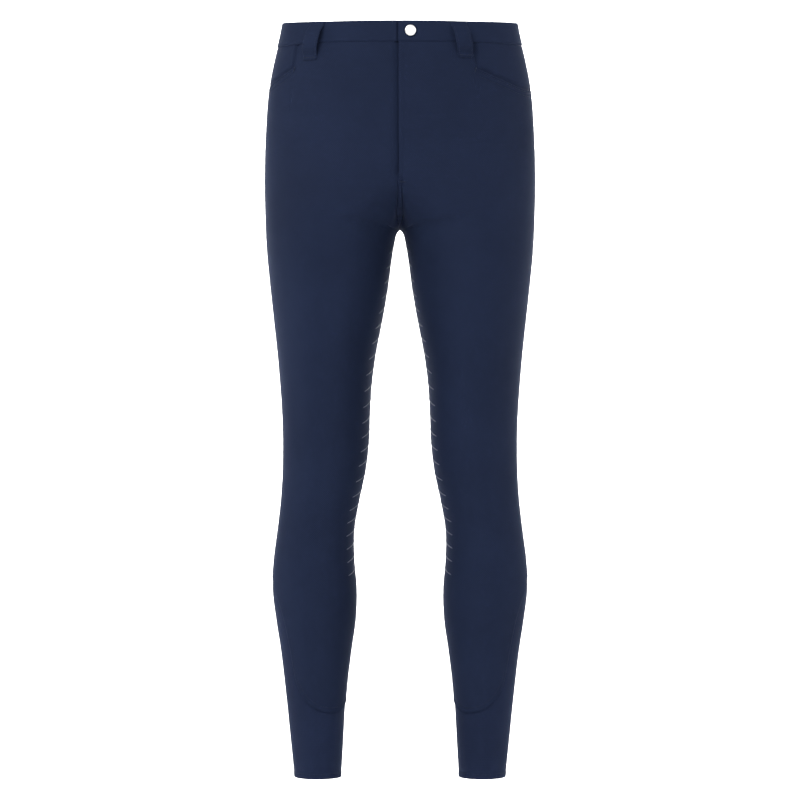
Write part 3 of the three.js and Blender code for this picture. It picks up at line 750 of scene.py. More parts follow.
def panel_surface(half, side):
    """Heights, shares across and raised or lowered outer face of a leg panel."""
    rows = panel_rows()[:, None]
    base = np.linspace(0, 1, PANEL_COLUMNS)
    if half == "front":
        turn = (POCKET_CORNER[side] + POCKET_TURN[side]) / 2
        base = np.union1d(base, np.linspace(turn - TURN_REACH[0], turn + TURN_REACH[1], TURN_COLUMNS))
    first = EDGE_OFFSETS[-1]
    across = np.broadcast_to(base, (len(rows), len(base)))
    z = row_height(half, side, rows, across)
    for _ in range(WIDTH_PASSES):
        length = arc_length(half, z)
        end = front_end(side, z, length) if half == "front" else np.ones_like(z)
        low = first / length
        high = end - first / length
        middle = low + (high - low) * base
        left_edge = EDGE_OFFSETS[:-1] / length[:, :1]
        right_edge = end[:, -1:] - EDGE_OFFSETS[:-1][::-1] / length[:, -1:]
        across_all = np.concatenate([left_edge, middle, right_edge], axis=1)
        z = row_height(half, side, rows, across_all)[:, len(left_edge[0]) : len(left_edge[0]) + len(base)]
    z = row_height(half, side, rows, across_all)
    length = arc_length(half, z)
    end = front_end(side, z, length) if half == "front" else np.ones_like(z)
    from_side = across_all * length
    from_inner = np.maximum(0, (end - across_all) * length)

    bottom = CUFF_CURVE[half]
    from_bottom = (z - bottom(across_all)) * slope_share(bottom, across_all, length)
    out = profile(from_side, SEAM) + puckered(z, SIDE_SEED, from_side)
    lip = CUFF_LIP_BACK
    if half == "front":
        lip = mix(*CUFF_LIP_SHARE, smooth((across_all - CUFF_LIP_FROM) / CUFF_LIP_OVER))
    out += lip * profile(from_bottom, CUFF_LIP) - CUFF_LIP_SINK * (1 - lip) * bell(from_bottom, 1)
    inseam = profile(from_inner, SEAM) * (1 - CROSSING_SHARE * bell(z - CROTCH_Z, CROSSING_HEIGHT))
    if half == "front":
        edge = partial(front_edge, side)
        below_edge = (edge(across_all) - z) * slope_share(edge, across_all, length)
        mouth = 1 - smooth((across_all - POCKET_TURN[side]) / MOUTH_FADE)
        out += mix(profile(below_edge, PANEL_TOP), profile(below_edge, MOUTH_LIP), mouth)
        x = skin(half, z, np.minimum(across_all, 1))[..., 0]
        in_rise = smooth((z - CROTCH_Z - RISE_START) / RISE_FADE)
        out += mix(inseam, centre_profile(side, z, from_inner), in_rise) + pressed_end(side, z, x)
    else:
        below_edge = WAIST_SEAM[half][side](across_all) - z
        out += profile(below_edge, PANEL_TOP) + inseam + puckered(z, INNER_SEED, from_inner)
    return z, across_all, from_side, out, fly_tuck(half, side, z, from_inner)


def build_leg_panel(half, side, material):
    z, across, walked, out, tuck = panel_surface(half, side)
    points, normals = ease_thigh(*figure_points(half, side, z, across))
    tuck = tuck + relief(points)
    outer = points + normals * (out + tuck)[..., None]
    inner = points + normals * (tuck + np.minimum(0, out + GROOVE_FREE) - CLOTH)[..., None]
    uv = np.stack([walked, z], axis=-1)
    flip = (half == "back") != (side == "right")
    cloth_piece(f"{half}_{side}", outer, inner, uv, material, flip=flip)


# Pocket facings

FACING_TUCK = -2.1
FACING_RISE = 6
FACING_RISE_BESIDE = 2.6
FACING_BESIDE = 0.09
FACING_BELOW_MOUTH = 8
FACING_BELOW_SEAM = 0.1
FACING_FREE = 1  # the facing starts to rise this far above the mouth
FACING_COLUMNS = 70
FACING_ROWS = 44
FAR_ABOVE = 60


def build_pocket_facing(side, material):
    corner = POCKET_CORNER[side]
    last = POCKET_TURN[side] + FACING_BESIDE
    base = np.linspace(0, last, FACING_COLUMNS)
    mouth = MOUTH_CURVE[side](np.minimum(base, corner))
    top = WAIST_SEAM["front"][side](base) - FACING_BELOW_SEAM
    share = np.linspace(0, 1, FACING_ROWS)[:, None]
    z = mix(mouth - FACING_BELOW_MOUTH, top, share)
    across = np.broadcast_to(base, z.shape)
    length = arc_length("front", z)
    above = np.where(across < corner, z - mouth, FAR_ABOVE)
    beside = (corner - across) * length
    clear = np.minimum((above - FACING_FREE) / FACING_RISE, (beside - FACING_FREE) / FACING_RISE_BESIDE)
    tuck = FACING_TUCK * (1 - smooth(clear))
    walked = across * length
    out = tuck + profile(walked, SEAM) + profile(top - z, PANEL_TOP)
    outer, _ = place("front", side, z, across, out)
    inner, _ = place("front", side, z, across, np.minimum(tuck, out) - FACING_CLOTH)
    uv = np.stack([walked, z], axis=-1)
    cloth_piece("pocket_facing_" + side, outer, inner, uv, material, flip=side == "right")


# Waistband

BAND_COLUMNS = 110
UNDERLAP = 34
UNDERLAP_STEP = 5
UNDERLAP_COLUMNS = 12
STEP_COLUMNS = 10
STEP_MARGIN = 1
STEP_CLEAR = 0.3  # between the lapped end and the end under it
COLUMN_CLEAR = 0.004
BAND_END_OFFSETS = np.array([0, 0.4, 1.0, 1.8])  # columns beside the lapped end
BAND_END_ROLL = [(0.45, 0, 0.8)]  # its distances are counted in columns
BAND_RIPPLE = 0.07
BAND_RIPPLE_UP = 4
BAND_SEED = 0.7
BAND_ROWS = [0, 0.012, 0.03, 0.06, 0.1, 0.16, 0.25, 0.36, 0.5, 0.64, 0.76, 0.85, 0.91, 0.95, 0.975, 0.99, 1]


def waistband_walk():
    """The waistband's columns, from its left end round the back to the hidden end of its underlap."""
    lap_length = float(arc_length("front", WAIST_SEAM["front"]["left"](1)))
    step_in = BAND_OUT - BAND_IN + STEP_CLEAR
    share = np.arange(BAND_COLUMNS + 1) / BAND_COLUMNS
    left_end = 1 + (BAND_LAP - BAND_END_OFFSETS) / lap_length
    columns = [("front", 1, a, 0.0) for a in left_end]
    columns += [("front", 1, a, 0.0) for a in share[::-1][1:]]
    columns += [("back", 1, a, 0.0) for a in share[1:]]
    columns += [("back", -1, a, 0.0) for a in share[::-1][1:]]
    step_from = 1 - (BAND_LAP + UNDERLAP_STEP - STEP_MARGIN) / lap_length
    columns += [("front", -1, a, 0.0) for a in share[1:] if a < step_from - COLUMN_CLEAR]
    for t in np.linspace(0, 1, STEP_COLUMNS):
        across = step_from + UNDERLAP_STEP / lap_length * t
        columns.append(("front", -1, across, step_in * float(smooth(t))))
    for t in np.linspace(0, 1, UNDERLAP_COLUMNS)[1:]:
        across = 1 - (BAND_LAP - STEP_MARGIN) / lap_length + (UNDERLAP + BAND_LAP) / lap_length * t
        columns.append(("front", -1, across, step_in))
    return columns


def build_waistband(material):
    columns = waistband_walk()
    v = np.array(BAND_ROWS)[:, None]
    outer = np.zeros((len(v), len(columns), 3))
    inner = np.zeros_like(outer)
    for half in ("front", "back"):
        pick = [k for k, c in enumerate(columns) if c[0] == half]
        across = np.array([columns[k][2] for k in pick])
        depth = np.array([columns[k][3] for k in pick])
        flip = np.array([columns[k][1] for k in pick])
        seams = WAIST_SEAM[half]
        low = np.where(flip > 0, seams["left"](across), seams["right"](across))
        high = WAIST_TOP[half](across)
        z = mix(low, high, v)
        wide = np.broadcast_to(across, z.shape)
        points = skin(half, z, wide)
        normals = skin_normal(points)
        signs = np.stack([flip, np.ones_like(flip), np.ones_like(flip)], axis=-1)
        from_top = (1 - v) * (high - low)
        from_low = v * (high - low)
        rolled = profile(from_top, BAND_TOP_ROLL) + profile(from_low, BAND_LOW_ROLL)
        ripple = BAND_RIPPLE * pucker(wide * TYPICAL_WIDTH * flip, BAND_SEED)
        ripple = ripple * bell(from_low - BAND_RIPPLE_UP, BAND_RIPPLE_UP)
        outer[:, pick] = (points + normals * (BAND_OUT + rolled + ripple - depth)[..., None]) * signs
        lining = BAND_IN + profile(from_top, BAND_LINING_ROLL) - depth
        inner[:, pick] = (points + normals * lining[..., None]) * signs
    outer[..., 1] += profile(np.arange(len(columns)), BAND_END_ROLL)
    uv = np.stack(np.broadcast_arrays(walked_along(outer[len(v) // 2]), v * BAND_HEIGHT), axis=-1)
    cloth_piece("waistband", outer, inner, uv, material, flip=True)


# Fly shield

SHIELD_HALF_WIDTH = 0.07
SHIELD_ABOVE_FLY_END = 13
SHIELD_GAP = 3.1
SHIELD_BELOW_SEAM = 1
SHIELD_ROWS = 50
SHIELD_COLUMNS = 15


def build_fly_shield(material):
    top = WAIST_SEAM["front"]["left"](1) - SHIELD_BELOW_SEAM
    z = np.linspace(FLY_END_Z + SHIELD_ABOVE_FLY_END, top, SHIELD_ROWS)[:, None]
    across = np.linspace(1 - SHIELD_HALF_WIDTH, 1 + SHIELD_HALF_WIDTH, SHIELD_COLUMNS)
    z, across = np.broadcast_arrays(z, across)
    out = np.full(z.shape, -CLOTH - SHIELD_GAP)
    outer, _ = place("front", "left", z, across, out)
    inner, _ = place("front", "left", z, across, out - SHIELD_CLOTH)
    uv = np.stack([across * TYPICAL_WIDTH, z], axis=-1)
    cloth_piece("fly_shield", outer, inner, uv, material)


# Belt loops: (half, side, distance from the centre at the top and at the bottom, length below the seam)

LOOPS = {
    "front_left": ("front", "left", 73.8, 83.8, 20),
    "front_right": ("front", "right", 104.5, 115.8, 22),
    "back_left": ("back", "left", 88, 92, 17.5),
    "back_right": ("back", "right", 88, 92, 17.5),
    "centre_back": ("back", "left", 0, 0, 17.5),
}
LOOP_WIDTH = 20.4
LOOP_OVER_TOP = -1.0
LOOP_CORNER = 2.6  # radius of the lower corners
LOOP_CLOTH = 1.6
LOOP_SLACK = 6.5
LOOP_GAP = 0.3
LOOP_HEIGHT = BAND_HEIGHT + 17
LOOP_OFF = (0.08, 0.86)  # where up its length a loop leaves the band, and how long it stays off it
LOOP_FULLNESS = 1.15
LOOP_STEP = 6  # a loop steps out over the band's seam within this height
LOOP_ROWS = np.concatenate([[0, 0.008, 0.02, 0.04], np.linspace(0.07, 0.94, 44), [0.965, 0.985, 0.995, 1]])
HALF_LOOP_COLUMNS = np.array([0, 0.1, 0.2, 0.3, 0.37, 0.43, 0.47, 0.49, 0.5])
LOOP_COLUMNS = np.concatenate([-HALF_LOOP_COLUMNS[:0:-1], HALF_LOOP_COLUMNS])


def loop_slack(t):
    off = np.clip((t - LOOP_OFF[0]) / LOOP_OFF[1], 0, 1)
    return LOOP_SLACK * smooth(np.sin(math.pi * off) * LOOP_FULLNESS)


def loop_grid(key, t, w, raised):
    """Points of a belt loop: t runs up it, w across it from -0.5 to 0.5, raised is above its back."""
    half, side, top, bottom, below = LOOPS[key]
    middle = across_at_x(half, 0, (top + bottom) / 2)
    high = WAIST_TOP[half](middle) + LOOP_OVER_TOP
    seam = WAIST_SEAM[half][side](middle)
    z = mix(seam - below, high, t)
    x = mix(bottom, top, t)
    centre = across_at_x(half, z, x) if top else np.ones_like(z)
    up = np.clip(t * (high - seam + below), 0, LOOP_CORNER)
    inset = LOOP_CORNER - np.sqrt(LOOP_CORNER**2 - (LOOP_CORNER - up) ** 2)
    across = centre - w * (LOOP_WIDTH - 2 * inset) / arc_length(half, z)
    over_band = BAND_OUT * smooth((z - seam + LOOP_STEP) / LOOP_STEP)
    return place(half, side, z, across, raised + LOOP_GAP + over_band + loop_slack(t))


def build_belt_loop(key, material):
    t, w = np.broadcast_arrays(LOOP_ROWS[:, None], LOOP_COLUMNS)
    from_edge = (0.5 - np.abs(w)) * LOOP_WIDTH
    from_end = np.minimum(t, 1 - t) * LOOP_HEIGHT
    face = LOOP_CLOTH + profile(from_edge, LOOP_EDGE) + profile(from_end, LOOP_END)
    outer, _ = loop_grid(key, t, w, face)
    inner, _ = loop_grid(key, t, w, profile(from_edge, LOOP_BACK_EDGE))
    uv = np.stack([w * LOOP_WIDTH, t * LOOP_HEIGHT], axis=-1)
    half, side = LOOPS[key][:2]
    flip = (half == "back") == (side == "right")
    cloth_piece("belt_loop_" + key, outer, inner, uv, material, flip=flip)


# Cuffs

CUFF_UNDER_PANEL = 3.5  # how far the cuff's cloth runs up behind the leg panel
CUFF_COLUMNS = 150
CUFF_ROWS = 62
CUFF_STEP = 0.85  # the cuff steps in behind the panel
CUFF_STEP_FROM = 1.6
CUFF_STEP_OVER = 2.4
HEM_RIPPLE = 0.12
HEM_RIPPLE_UP = (5, 6)  # its place above the hem's edge, and its height
HEM_SEED = 1.9
HEM_ROWS = np.array([0, 0.35, 0.9, 1.7, 2.6, 3.5, 4.4, 5.4, 6.3, 7.0, 7.6])[:, None]
ABOVE_HEM = 0.4
BELOW_SEAM = 6
SEAM_ROWS = np.array([-4.5, -3.2, -2.2, -1.4, -0.7, 0, 0.7, 1.6, CUFF_UNDER_PANEL])[:, None]


def build_cuff(side, material):
    shares = np.linspace(0, 1, CUFF_COLUMNS)
    hem_top = HEM_Z + HEM_HEIGHT
    parts = []
    for half, order in (("front", shares[:-1]), ("back", shares[::-1][:-1])):
        seam = CUFF_CURVE[half](order)
        hem = np.broadcast_to(HEM_Z + HEM_ROWS, (len(HEM_ROWS), len(order)))
        upper = mix(hem_top + ABOVE_HEM, seam - BELOW_SEAM, np.linspace(0, 1, CUFF_ROWS)[:, None])
        z = np.concatenate([hem, upper, seam + SEAM_ROWS])
        across = np.broadcast_to(order, z.shape)
        length = arc_length(half, z)
        below = (seam - z) * slope_share(CUFF_CURVE[half], across, length)
        set_back = CUFF_SET_BACK + CUFF_STEP * smooth((CUFF_STEP_FROM - below) / CUFF_STEP_OVER)
        hem_extra = HEM_EXTRA * smooth(hem_top - z)
        up = z - HEM_Z
        ripple = HEM_RIPPLE * pucker(across * length, HEM_SEED)
        ripple = ripple * bell(up - HEM_RIPPLE_UP[0], HEM_RIPPLE_UP[1])
        outer, _ = place(half, side, z, across, hem_extra - set_back + profile(up, HEM_PROFILE) + ripple)
        inner, _ = place(half, side, z, across, -set_back - CUFF_CLOTH - hem_extra)
        walked = across * length if half == "front" else -across * length
        parts.append((outer, inner, np.stack([walked, z], axis=-1)))
    outer, inner, uv = (np.concatenate([a, b], axis=1) for a, b in zip(*parts))
    cloth_piece("cuff_" + side, outer, inner, uv, material, "cuff_cloth", ring=True, flip=side == "right")


# Grip lines: beads of silicone that wrap the inner leg. Their middle is at the inseam.

GRIP_LINES = 23
GRIP_STATIONS = 56
GRIP_LEVEL = Curve([
    (0, -278.7), (3, -335.9), (6, -393.8), (8, -434.1), (11, -496.5), (14, -553), (16, -593.3),
    (18, -627.1), (20, -661.6), (22, -696),
])
GRIP_REACH_FRONT = {
    "left": Curve([(-705, 34), (-640, 35), (-560, 36), (-500, 39), (-435, 40), (-395, 38), (-285, 33)]),
    "right": Curve([(-705, 35), (-640, 38), (-560, 40), (-500, 44), (-435, 46), (-395, 45), (-285, 38)]),
}
GRIP_REACH_BACK = Curve([(-705, 50), (-560, 48), (-285, 42)])
GRIP_SLOPE_FRONT = {"left": 0.24, "right": 0.265}
GRIP_SLOPE_BACK = 0.12
GRIP_ROUNDING = 0.6  # a line's ends are rounded off over this share of its width
GRIP_TIP = 0.02
GRIP_ABOVE_CLOTH = 0.02
GRIP_SEAM_SHARE = 0.55  # the lines dip this far into the inseam
# Places across a line in widths, and heights above the cloth in heights
GRIP_SECTION = np.array([
    (-0.5, -0.1), (-0.42, 0.45), (-0.2, 0.9), (0, 1), (0.2, 0.9), (0.42, 0.45), (0.5, -0.1),
])


def build_grip_lines(side, material):
    width = settings().grip_width / MM
    height = settings().grip_height / MM
    points = []
    faces = []
    flip = side == "right"
    for line in range(GRIP_LINES):
        level = float(GRIP_LEVEL(line))
        reach = (float(GRIP_REACH_FRONT[side](level)), float(GRIP_REACH_BACK(level)))
        walk = np.linspace(-reach[0], reach[1], GRIP_STATIONS)
        rise = np.where(walk < 0, GRIP_SLOPE_FRONT[side], GRIP_SLOPE_BACK) * walk
        from_end = np.minimum(walk + reach[0], reach[1] - walk)
        full = np.sqrt(np.clip(from_end / (GRIP_ROUNDING * width), GRIP_TIP, 1))
        z = level + rise + GRIP_SECTION[:, :1] * width * full
        grids = {}
        for half in ("front", "back"):
            across = 1 - np.abs(walk) / arc_length(half, z)
            across = np.broadcast_to(across, z.shape)
            base = GRIP_SEAM_SHARE * profile(np.abs(walk), SEAM) + GRIP_ABOVE_CLOTH
            out = base + GRIP_SECTION[:, 1:] * height * full
            grids[half] = place(half, side, z, across, out)[0]
        grid = np.where((walk < 0)[None, :, None], grids["front"], grids["back"])
        start = len(points)
        points.extend(grid.reshape(-1, 3))
        rows, columns = grid.shape[:2]
        faces += grid_faces(rows, columns, start, flip=flip)
        index = (start + np.arange(rows * columns)).reshape(rows, columns).tolist()
        under = list(zip(index[0], index[0][1:], index[-1][1:], index[-1]))
        tips = [[row[0] for row in index[::-1]], [row[-1] for row in index]]
        faces += [face[::-1] if flip else face for face in under + tips]
    finish_piece(make_object("grip_lines_" + side, points, faces, material), "grip")


# Sewing

STITCH_RADIUS = 0.2
STITCH_LENGTH = 2.7
STITCH_GAP = 0.55
STITCH_RINGS = [(0.16, 0.0), (0.5, 0.35), (0.84, 0.0)]  # a ring's place along a stitch, and its lift in radii
STITCH_END_DIP = 0.5  # in radii
QUARTERS = [quarter * math.pi / 2 for quarter in range(4)]
BAR_FULLNESS = 0.62  # a bar's stitches touch

# Each sewn line's number of points, and its height above the figure, or above a loop's back
SEWN = {
    "mouth": (60, 0.02),
    "front": (30, 0.0),
    "back": (90, 0.2),
    "hem": (70, 0.3 - CUFF_SET_BACK),
    "cuff": (160, -0.1),
    "loop": (40, LOOP_CLOTH - 0.2),
}
# Rows beside the centre seams: distance from the seam, and the heights where they start and end
CENTRE_ROWS = {
    "front": (3.4, FLY_END_Z - 8, CROTCH_Z + 16),
    "back": (3.2, CROTCH_Z + 18, float(WAIST_SEAM["back"]["left"](1)) - 4),
}
MOUTH_ROW = (0.012, 0.004)  # the rows keep clear of a mouth's ends by these shares
HEM_STITCHES = (5.4, 6.9)
CUFF_ROW = (0.004, 0.996)
LOOP_ROW = (0.03, 0.97)
LOOP_ROW_BESIDE = 0.38
# Each bar's length, width and number of stitches, then where it lies
POCKET_BAR = (6.5, 2.0, 13)
POCKET_BAR_DIRECTION = np.array([0.25, 0, 1.0])
POCKET_BAR_BESIDE = 0.012
POCKET_BAR_DOWN = 1.5
POCKET_BAR_OUT = 0.45
FLY_BAR = (11, 1.7, 22)
FLY_BAR_X = 5.0
FLY_BAR_DOWN = 2.0
FLY_BAR_OUT = 0.35
LOOP_BAR = (LOOP_WIDTH * 0.78, 1.4, 30)
LOOP_BAR_UP = 0.06
LOOP_BAR_HALF = 0.4


class Sewing:
    """Collects stitches, each a small pointed prism that lies along the cloth."""

    def __init__(self):
        self.points = []
        self.faces = []

    def stitch(self, start, end, normal, radius):
        length = np.linalg.norm(end - start)
        along = (end - start) / length
        across = np.cross(along, normal)
        across = across / np.linalg.norm(across)
        up = np.cross(across, along)
        first = len(self.points)
        self.points.append(start - up * radius * STITCH_END_DIP)
        for place_along, lift in STITCH_RINGS:
            for angle in QUARTERS:
                ring = across * math.cos(angle) + up * (math.sin(angle) + lift)
                self.points.append(start + along * length * place_along + ring * radius)
        self.points.append(end - up * radius * STITCH_END_DIP)
        last = len(self.points) - 1
        for k in range(4):
            n = (k + 1) % 4
            self.faces.append((first, first + 1 + k, first + 1 + n))
            for a in (first + 1, first + 5):
                self.faces.append((a + k, a + k + 4, a + n + 4, a + n))
            self.faces.append((last - 4 + n, last - 4 + k, last))

    def row(self, points, normals):
        """A row of stitches along a line of points."""
        walked = walked_along(points)

        def at(way, values):
            return np.array([np.interp(way, walked, values[:, k]) for k in range(3)])

        for start in np.arange(0, walked[-1] - STITCH_LENGTH, STITCH_LENGTH + STITCH_GAP):
            end = start + STITCH_LENGTH
            self.stitch(at(start, points), at(end, points), at((start + end) / 2, normals), STITCH_RADIUS)

    def bar(self, middle, along, normal, length, width, count):
        """A bar of close stitches, as at the end of a pocket or fly."""
        along = along / np.linalg.norm(along)
        half = np.cross(normal, along)
        half = half / np.linalg.norm(half) * width / 2
        for t in np.linspace(-0.5, 0.5, count):
            centre = middle + along * t * length
            self.stitch(centre - half, centre + half, normal, length / count * BAR_FULLNESS)


def line_on_cloth(half, side, z, across, out):
    z, across = np.broadcast_arrays(np.asarray(z, float), np.asarray(across, float))
    return place(half, side, z, across, np.full(z.shape, float(out)))


def sew_pocket_mouths(sewing):
    count, out = SEWN["mouth"]
    for side in SIDES:
        mouth = MOUTH_CURVE[side]
        corner = POCKET_CORNER[side]
        across = np.linspace(MOUTH_ROW[0], corner - MOUTH_ROW[1], count)
        share = slope_share(mouth, across, arc_length("front", mouth(across)))
        for below in MOUTH_STITCHES:
            sewing.row(*line_on_cloth("front", side, mouth(across) - below / share, across, out))
        z = [float(mouth(corner)) - POCKET_BAR_DOWN]
        middle, normal = line_on_cloth("front", side, z, [corner + POCKET_BAR_BESIDE], POCKET_BAR_OUT)
        sewing.bar(middle[0], POCKET_BAR_DIRECTION, normal[0], *POCKET_BAR)


def sew_centre_seam(sewing, half):
    count, out = SEWN[half]
    beside, start, end = CENTRE_ROWS[half]
    z = np.linspace(start, end, count)
    for side in SIDES:
        sewing.row(*line_on_cloth(half, side, z, 1 - beside / arc_length(half, z), out))


def sew_fly(sewing):
    z = np.array([FLY_END_Z - FLY_BAR_DOWN])
    middle, normal = line_on_cloth("front", "left", z, across_at_x("front", z, FLY_BAR_X), FLY_BAR_OUT)
    sewing.bar(middle[0], np.array([1.0, 0, 0]), normal[0], *FLY_BAR)
    sew_centre_seam(sewing, "front")


def sew_hem_and_cuff(sewing, half, side):
    count, out = SEWN["hem"]
    for up in HEM_STITCHES:
        sewing.row(*line_on_cloth(half, side, HEM_Z + up, np.linspace(0, 1, count), out))
    count, out = SEWN["cuff"]
    across = np.linspace(*CUFF_ROW, count)
    seam = CUFF_CURVE[half]
    share = slope_share(seam, across, arc_length(half, seam(across)))
    sewing.row(*line_on_cloth(half, side, seam(across) + CUFF_STITCH_UP / share, across, out))


def sew_belt_loop(sewing, key):
    count, out = SEWN["loop"]
    t = np.linspace(*LOOP_ROW, count)
    for w in (-LOOP_ROW_BESIDE, LOOP_ROW_BESIDE):
        sewing.row(*loop_grid(key, t, np.full(count, w), out))
    w = np.array([-LOOP_BAR_HALF, 0, LOOP_BAR_HALF])
    points, normals = loop_grid(key, np.full(3, LOOP_BAR_UP), w, out)
    sewing.bar(points[1], points[2] - points[0], normals[1], *LOOP_BAR)


def build_sewing(material):
    sewing = Sewing()
    sew_pocket_mouths(sewing)
    sew_fly(sewing)
    for side in SIDES:
        for half in ("front", "back"):
            sew_hem_and_cuff(sewing, half, side)
    for key in LOOPS:
        sew_belt_loop(sewing, key)
    sew_centre_seam(sewing, "back")
    obj = make_object("sewing", sewing.points, sewing.faces, material, smooth_angle=SMALL_SMOOTH_ANGLE)
    finish_piece(obj, "thread")


# Button

BUTTON_X = 13.3
BUTTON_Z = -7.8
BUTTON_SEAT = 0.9
BUTTON_PROFILE = [
    (0, 0), (4.6, 0), (4.6, 0.6), (5.4, 0.7), (6.5, 0.85), (6.95, 1.1), (7.1, 1.5), (7.05, 1.95),
    (6.85, 2.35), (6.55, 2.6), (6.25, 2.68), (6.0, 2.64), (5.75, 2.62), (5.4, 2.72), (4.6, 2.93),
    (3.6, 3.12), (2.4, 3.27), (1.2, 3.37), (0, 3.4),
]
BUTTON_SEGMENTS = 96


def build_button(material):
    turns = np.linspace(0, 2 * math.pi, BUTTON_SEGMENTS, endpoint=False)
    points = [(0, 0, BUTTON_PROFILE[0][1])]
    for radius, height in BUTTON_PROFILE[1:-1]:
        points += [(radius * math.cos(a), radius * math.sin(a), height) for a in turns]
    points.append((0, 0, BUTTON_PROFILE[-1][1]))
    rings = len(BUTTON_PROFILE) - 2
    last = len(points) - 1
    faces = []
    for k in range(BUTTON_SEGMENTS):
        n = (k + 1) % BUTTON_SEGMENTS
        faces.append((0, 1 + n, 1 + k))
        for ring in range(rings - 1):
            a = 1 + ring * BUTTON_SEGMENTS
            faces.append((a + k, a + n, a + n + BUTTON_SEGMENTS, a + k + BUTTON_SEGMENTS))
        a = 1 + (rings - 1) * BUTTON_SEGMENTS
        faces.append((a + k, a + n, last))
    z = np.array([BUTTON_Z])
    seat, normal = line_on_cloth("front", "left", z, across_at_x("front", z, BUTTON_X), BUTTON_SEAT)
    turn = Vector((0, 0, 1)).rotation_difference(Vector(normal[0])).to_matrix()
    placed = np.array(points) @ np.array(turn).T + seat[0]
    obj = make_object("button_metal", placed, faces, material, smooth_angle=SMALL_SMOOTH_ANGLE)
    finish_piece(obj, "button_metal", "button")


# Materials

WAVE_SCALE = math.pi / 20 / MM  # a wave texture's scale for one thread a millimetre
WEFT_SHARE = 0.8


class Shading:
    """A material, and the nodes that the materials here are made of."""

    def __init__(self, name):
        self.material = bpy.data.materials.new(name)
        self.material.use_nodes = True
        self.tree = self.material.node_tree
        self.tree.nodes.clear()
        self.shader = self.node("BsdfPrincipled")
        self.node("OutputMaterial", {"Surface": self.shader.outputs["BSDF"]})

    def feed(self, node, inputs):
        """Set each input to a value, or link it to another node's output."""
        for key, value in inputs.items():
            if isinstance(value, bpy.types.NodeSocket):
                self.tree.links.new(value, node.inputs[key])
            else:
                node.inputs[key].default_value = value

    def node(self, kind, inputs=None, **values):
        node = self.tree.nodes.new("ShaderNode" + kind)
        for key, value in values.items():
            setattr(node, key, value)
        self.feed(node, inputs or {})
        return node

    def noise(self, scale, detail, roughness=0.5):
        place_in_object = self.node("TexCoord").outputs["Object"]
        inputs = {"Vector": place_in_object, "Scale": scale, "Detail": detail, "Roughness": roughness}
        return self.node("TexNoise", inputs).outputs["Fac"]

    def wave(self, vector, scale, distortion, direction):
        inputs = {"Vector": vector, "Scale": scale, "Distortion": distortion, "Detail": 1.0}
        return self.node("TexWave", inputs, wave_type="BANDS", bands_direction=direction).outputs["Fac"]

    def add_share(self, added, share, base):
        return self.node("Math", {0: added, 1: share, 2: base}, operation="MULTIPLY_ADD").outputs[0]

    def spread(self, value, low, high):
        return self.node("MapRange", {"Value": value, "To Min": low, "To Max": high}).outputs["Result"]

    def ramp(self, value, low_colour, high_colour, low=0.0, high=1.0):
        node = self.node("ValToRGB", {"Fac": value})
        ends = node.color_ramp.elements
        ends[0].position, ends[1].position = low, high
        ends[0].color, ends[1].color = low_colour, high_colour
        return node.outputs["Color"]

    def bump(self, height, strength, distance_mm, under=None):
        inputs = {"Height": height, "Strength": strength, "Distance": distance_mm * MM}
        if under:
            inputs["Normal"] = under
        return self.node("Bump", inputs).outputs["Normal"]

    def finish(self, inputs):
        self.feed(self.shader, inputs)
        return self.material


def scaled(colour, factor):
    return (colour[0] * factor, colour[1] * factor, colour[2] * factor, 1)


def cloth_material(name, colour, threads_per_mm, weave_depth, rib):
    """Stretch cloth: a fine weave or rib raised by threads, uneven dye, and soft fibres at the edges."""
    shading = Shading(name)
    uv = shading.node("UVMap", uv_map="cloth").outputs["UV"]
    scale = threads_per_mm * WAVE_SCALE
    warp = shading.wave(uv, scale, 0.6, "X" if rib else "DIAGONAL")
    weft = shading.wave(uv, scale * WEFT_SHARE, 0.8, "Y")
    weave = shading.add_share(weft, 0.45, warp)
    surface = shading.add_share(shading.noise(900, 3, 0.6), 0.6, weave)
    soft = shading.bump(shading.noise(26, 2), 0.25, 0.9)
    dye = shading.ramp(shading.noise(9, 4, 0.55), scaled(colour, 0.9), scaled(colour, 1.1), 0.3, 0.7)
    both = {"Factor": 1.0, "A": dye, "B": shading.spread(weave, 0.82, 1.1)}
    tint = shading.node("Mix", both, data_type="RGBA", blend_type="MULTIPLY")
    return shading.finish({
        "Base Color": tint.outputs["Result"],
        "Normal": shading.bump(surface, 0.35, weave_depth, soft),
        "Roughness": 0.75,
        "Specular IOR Level": 0.06,
        "Sheen Weight": 0.09,
        "Sheen Roughness": 0.4,
        "Sheen Tint": (0.35, 0.45, 0.85, 1),
    })


def grip_material(colour):
    """Silicone over the dyed cloth, with a soft shine. Its base colour is a much lighter, greyer blue than
    the cloth: painted highlight that stands in for the lines' glints.
    """
    shading = Shading("grip_silicone")
    pits = shading.noise(700, 2)
    return shading.finish({
        # painted highlight: the base colour is far lighter than the cloth, so the lines read as glinting
        # under any light
        "Base Color": scaled(colour, 1.0),
        "Normal": shading.bump(pits, 0.15, 0.1),
        "Roughness": shading.spread(pits, 0.42, 0.54),
        "Specular IOR Level": 0.22,
        "Specular Tint": (0.75, 0.8, 1, 1),
    })


def thread_material(colour):
    shading = Shading("sewing_thread")
    ply = shading.noise(1500, 1)
    return shading.finish({
        "Base Color": shading.ramp(ply, scaled(colour, 0.8), scaled(colour, 1.25)),
        "Roughness": 0.62,
        "Specular IOR Level": 0.15,
    })


def metal_material(colour):
    """Polished metal with faint brushing."""
    shading = Shading("polished_metal")
    return shading.finish({
        "Base Color": scaled(colour, 1.0),
        "Metallic": 1.0,
        "Roughness": shading.spread(shading.noise(400, 4), 0.3, 0.42),
    })


def white_material():
    return Shading("studio_white").finish({
        "Base Color": (0.95, 0.95, 0.95, 1),
        "Roughness": 0.9,
        "Specular IOR Level": 0.1,
    })


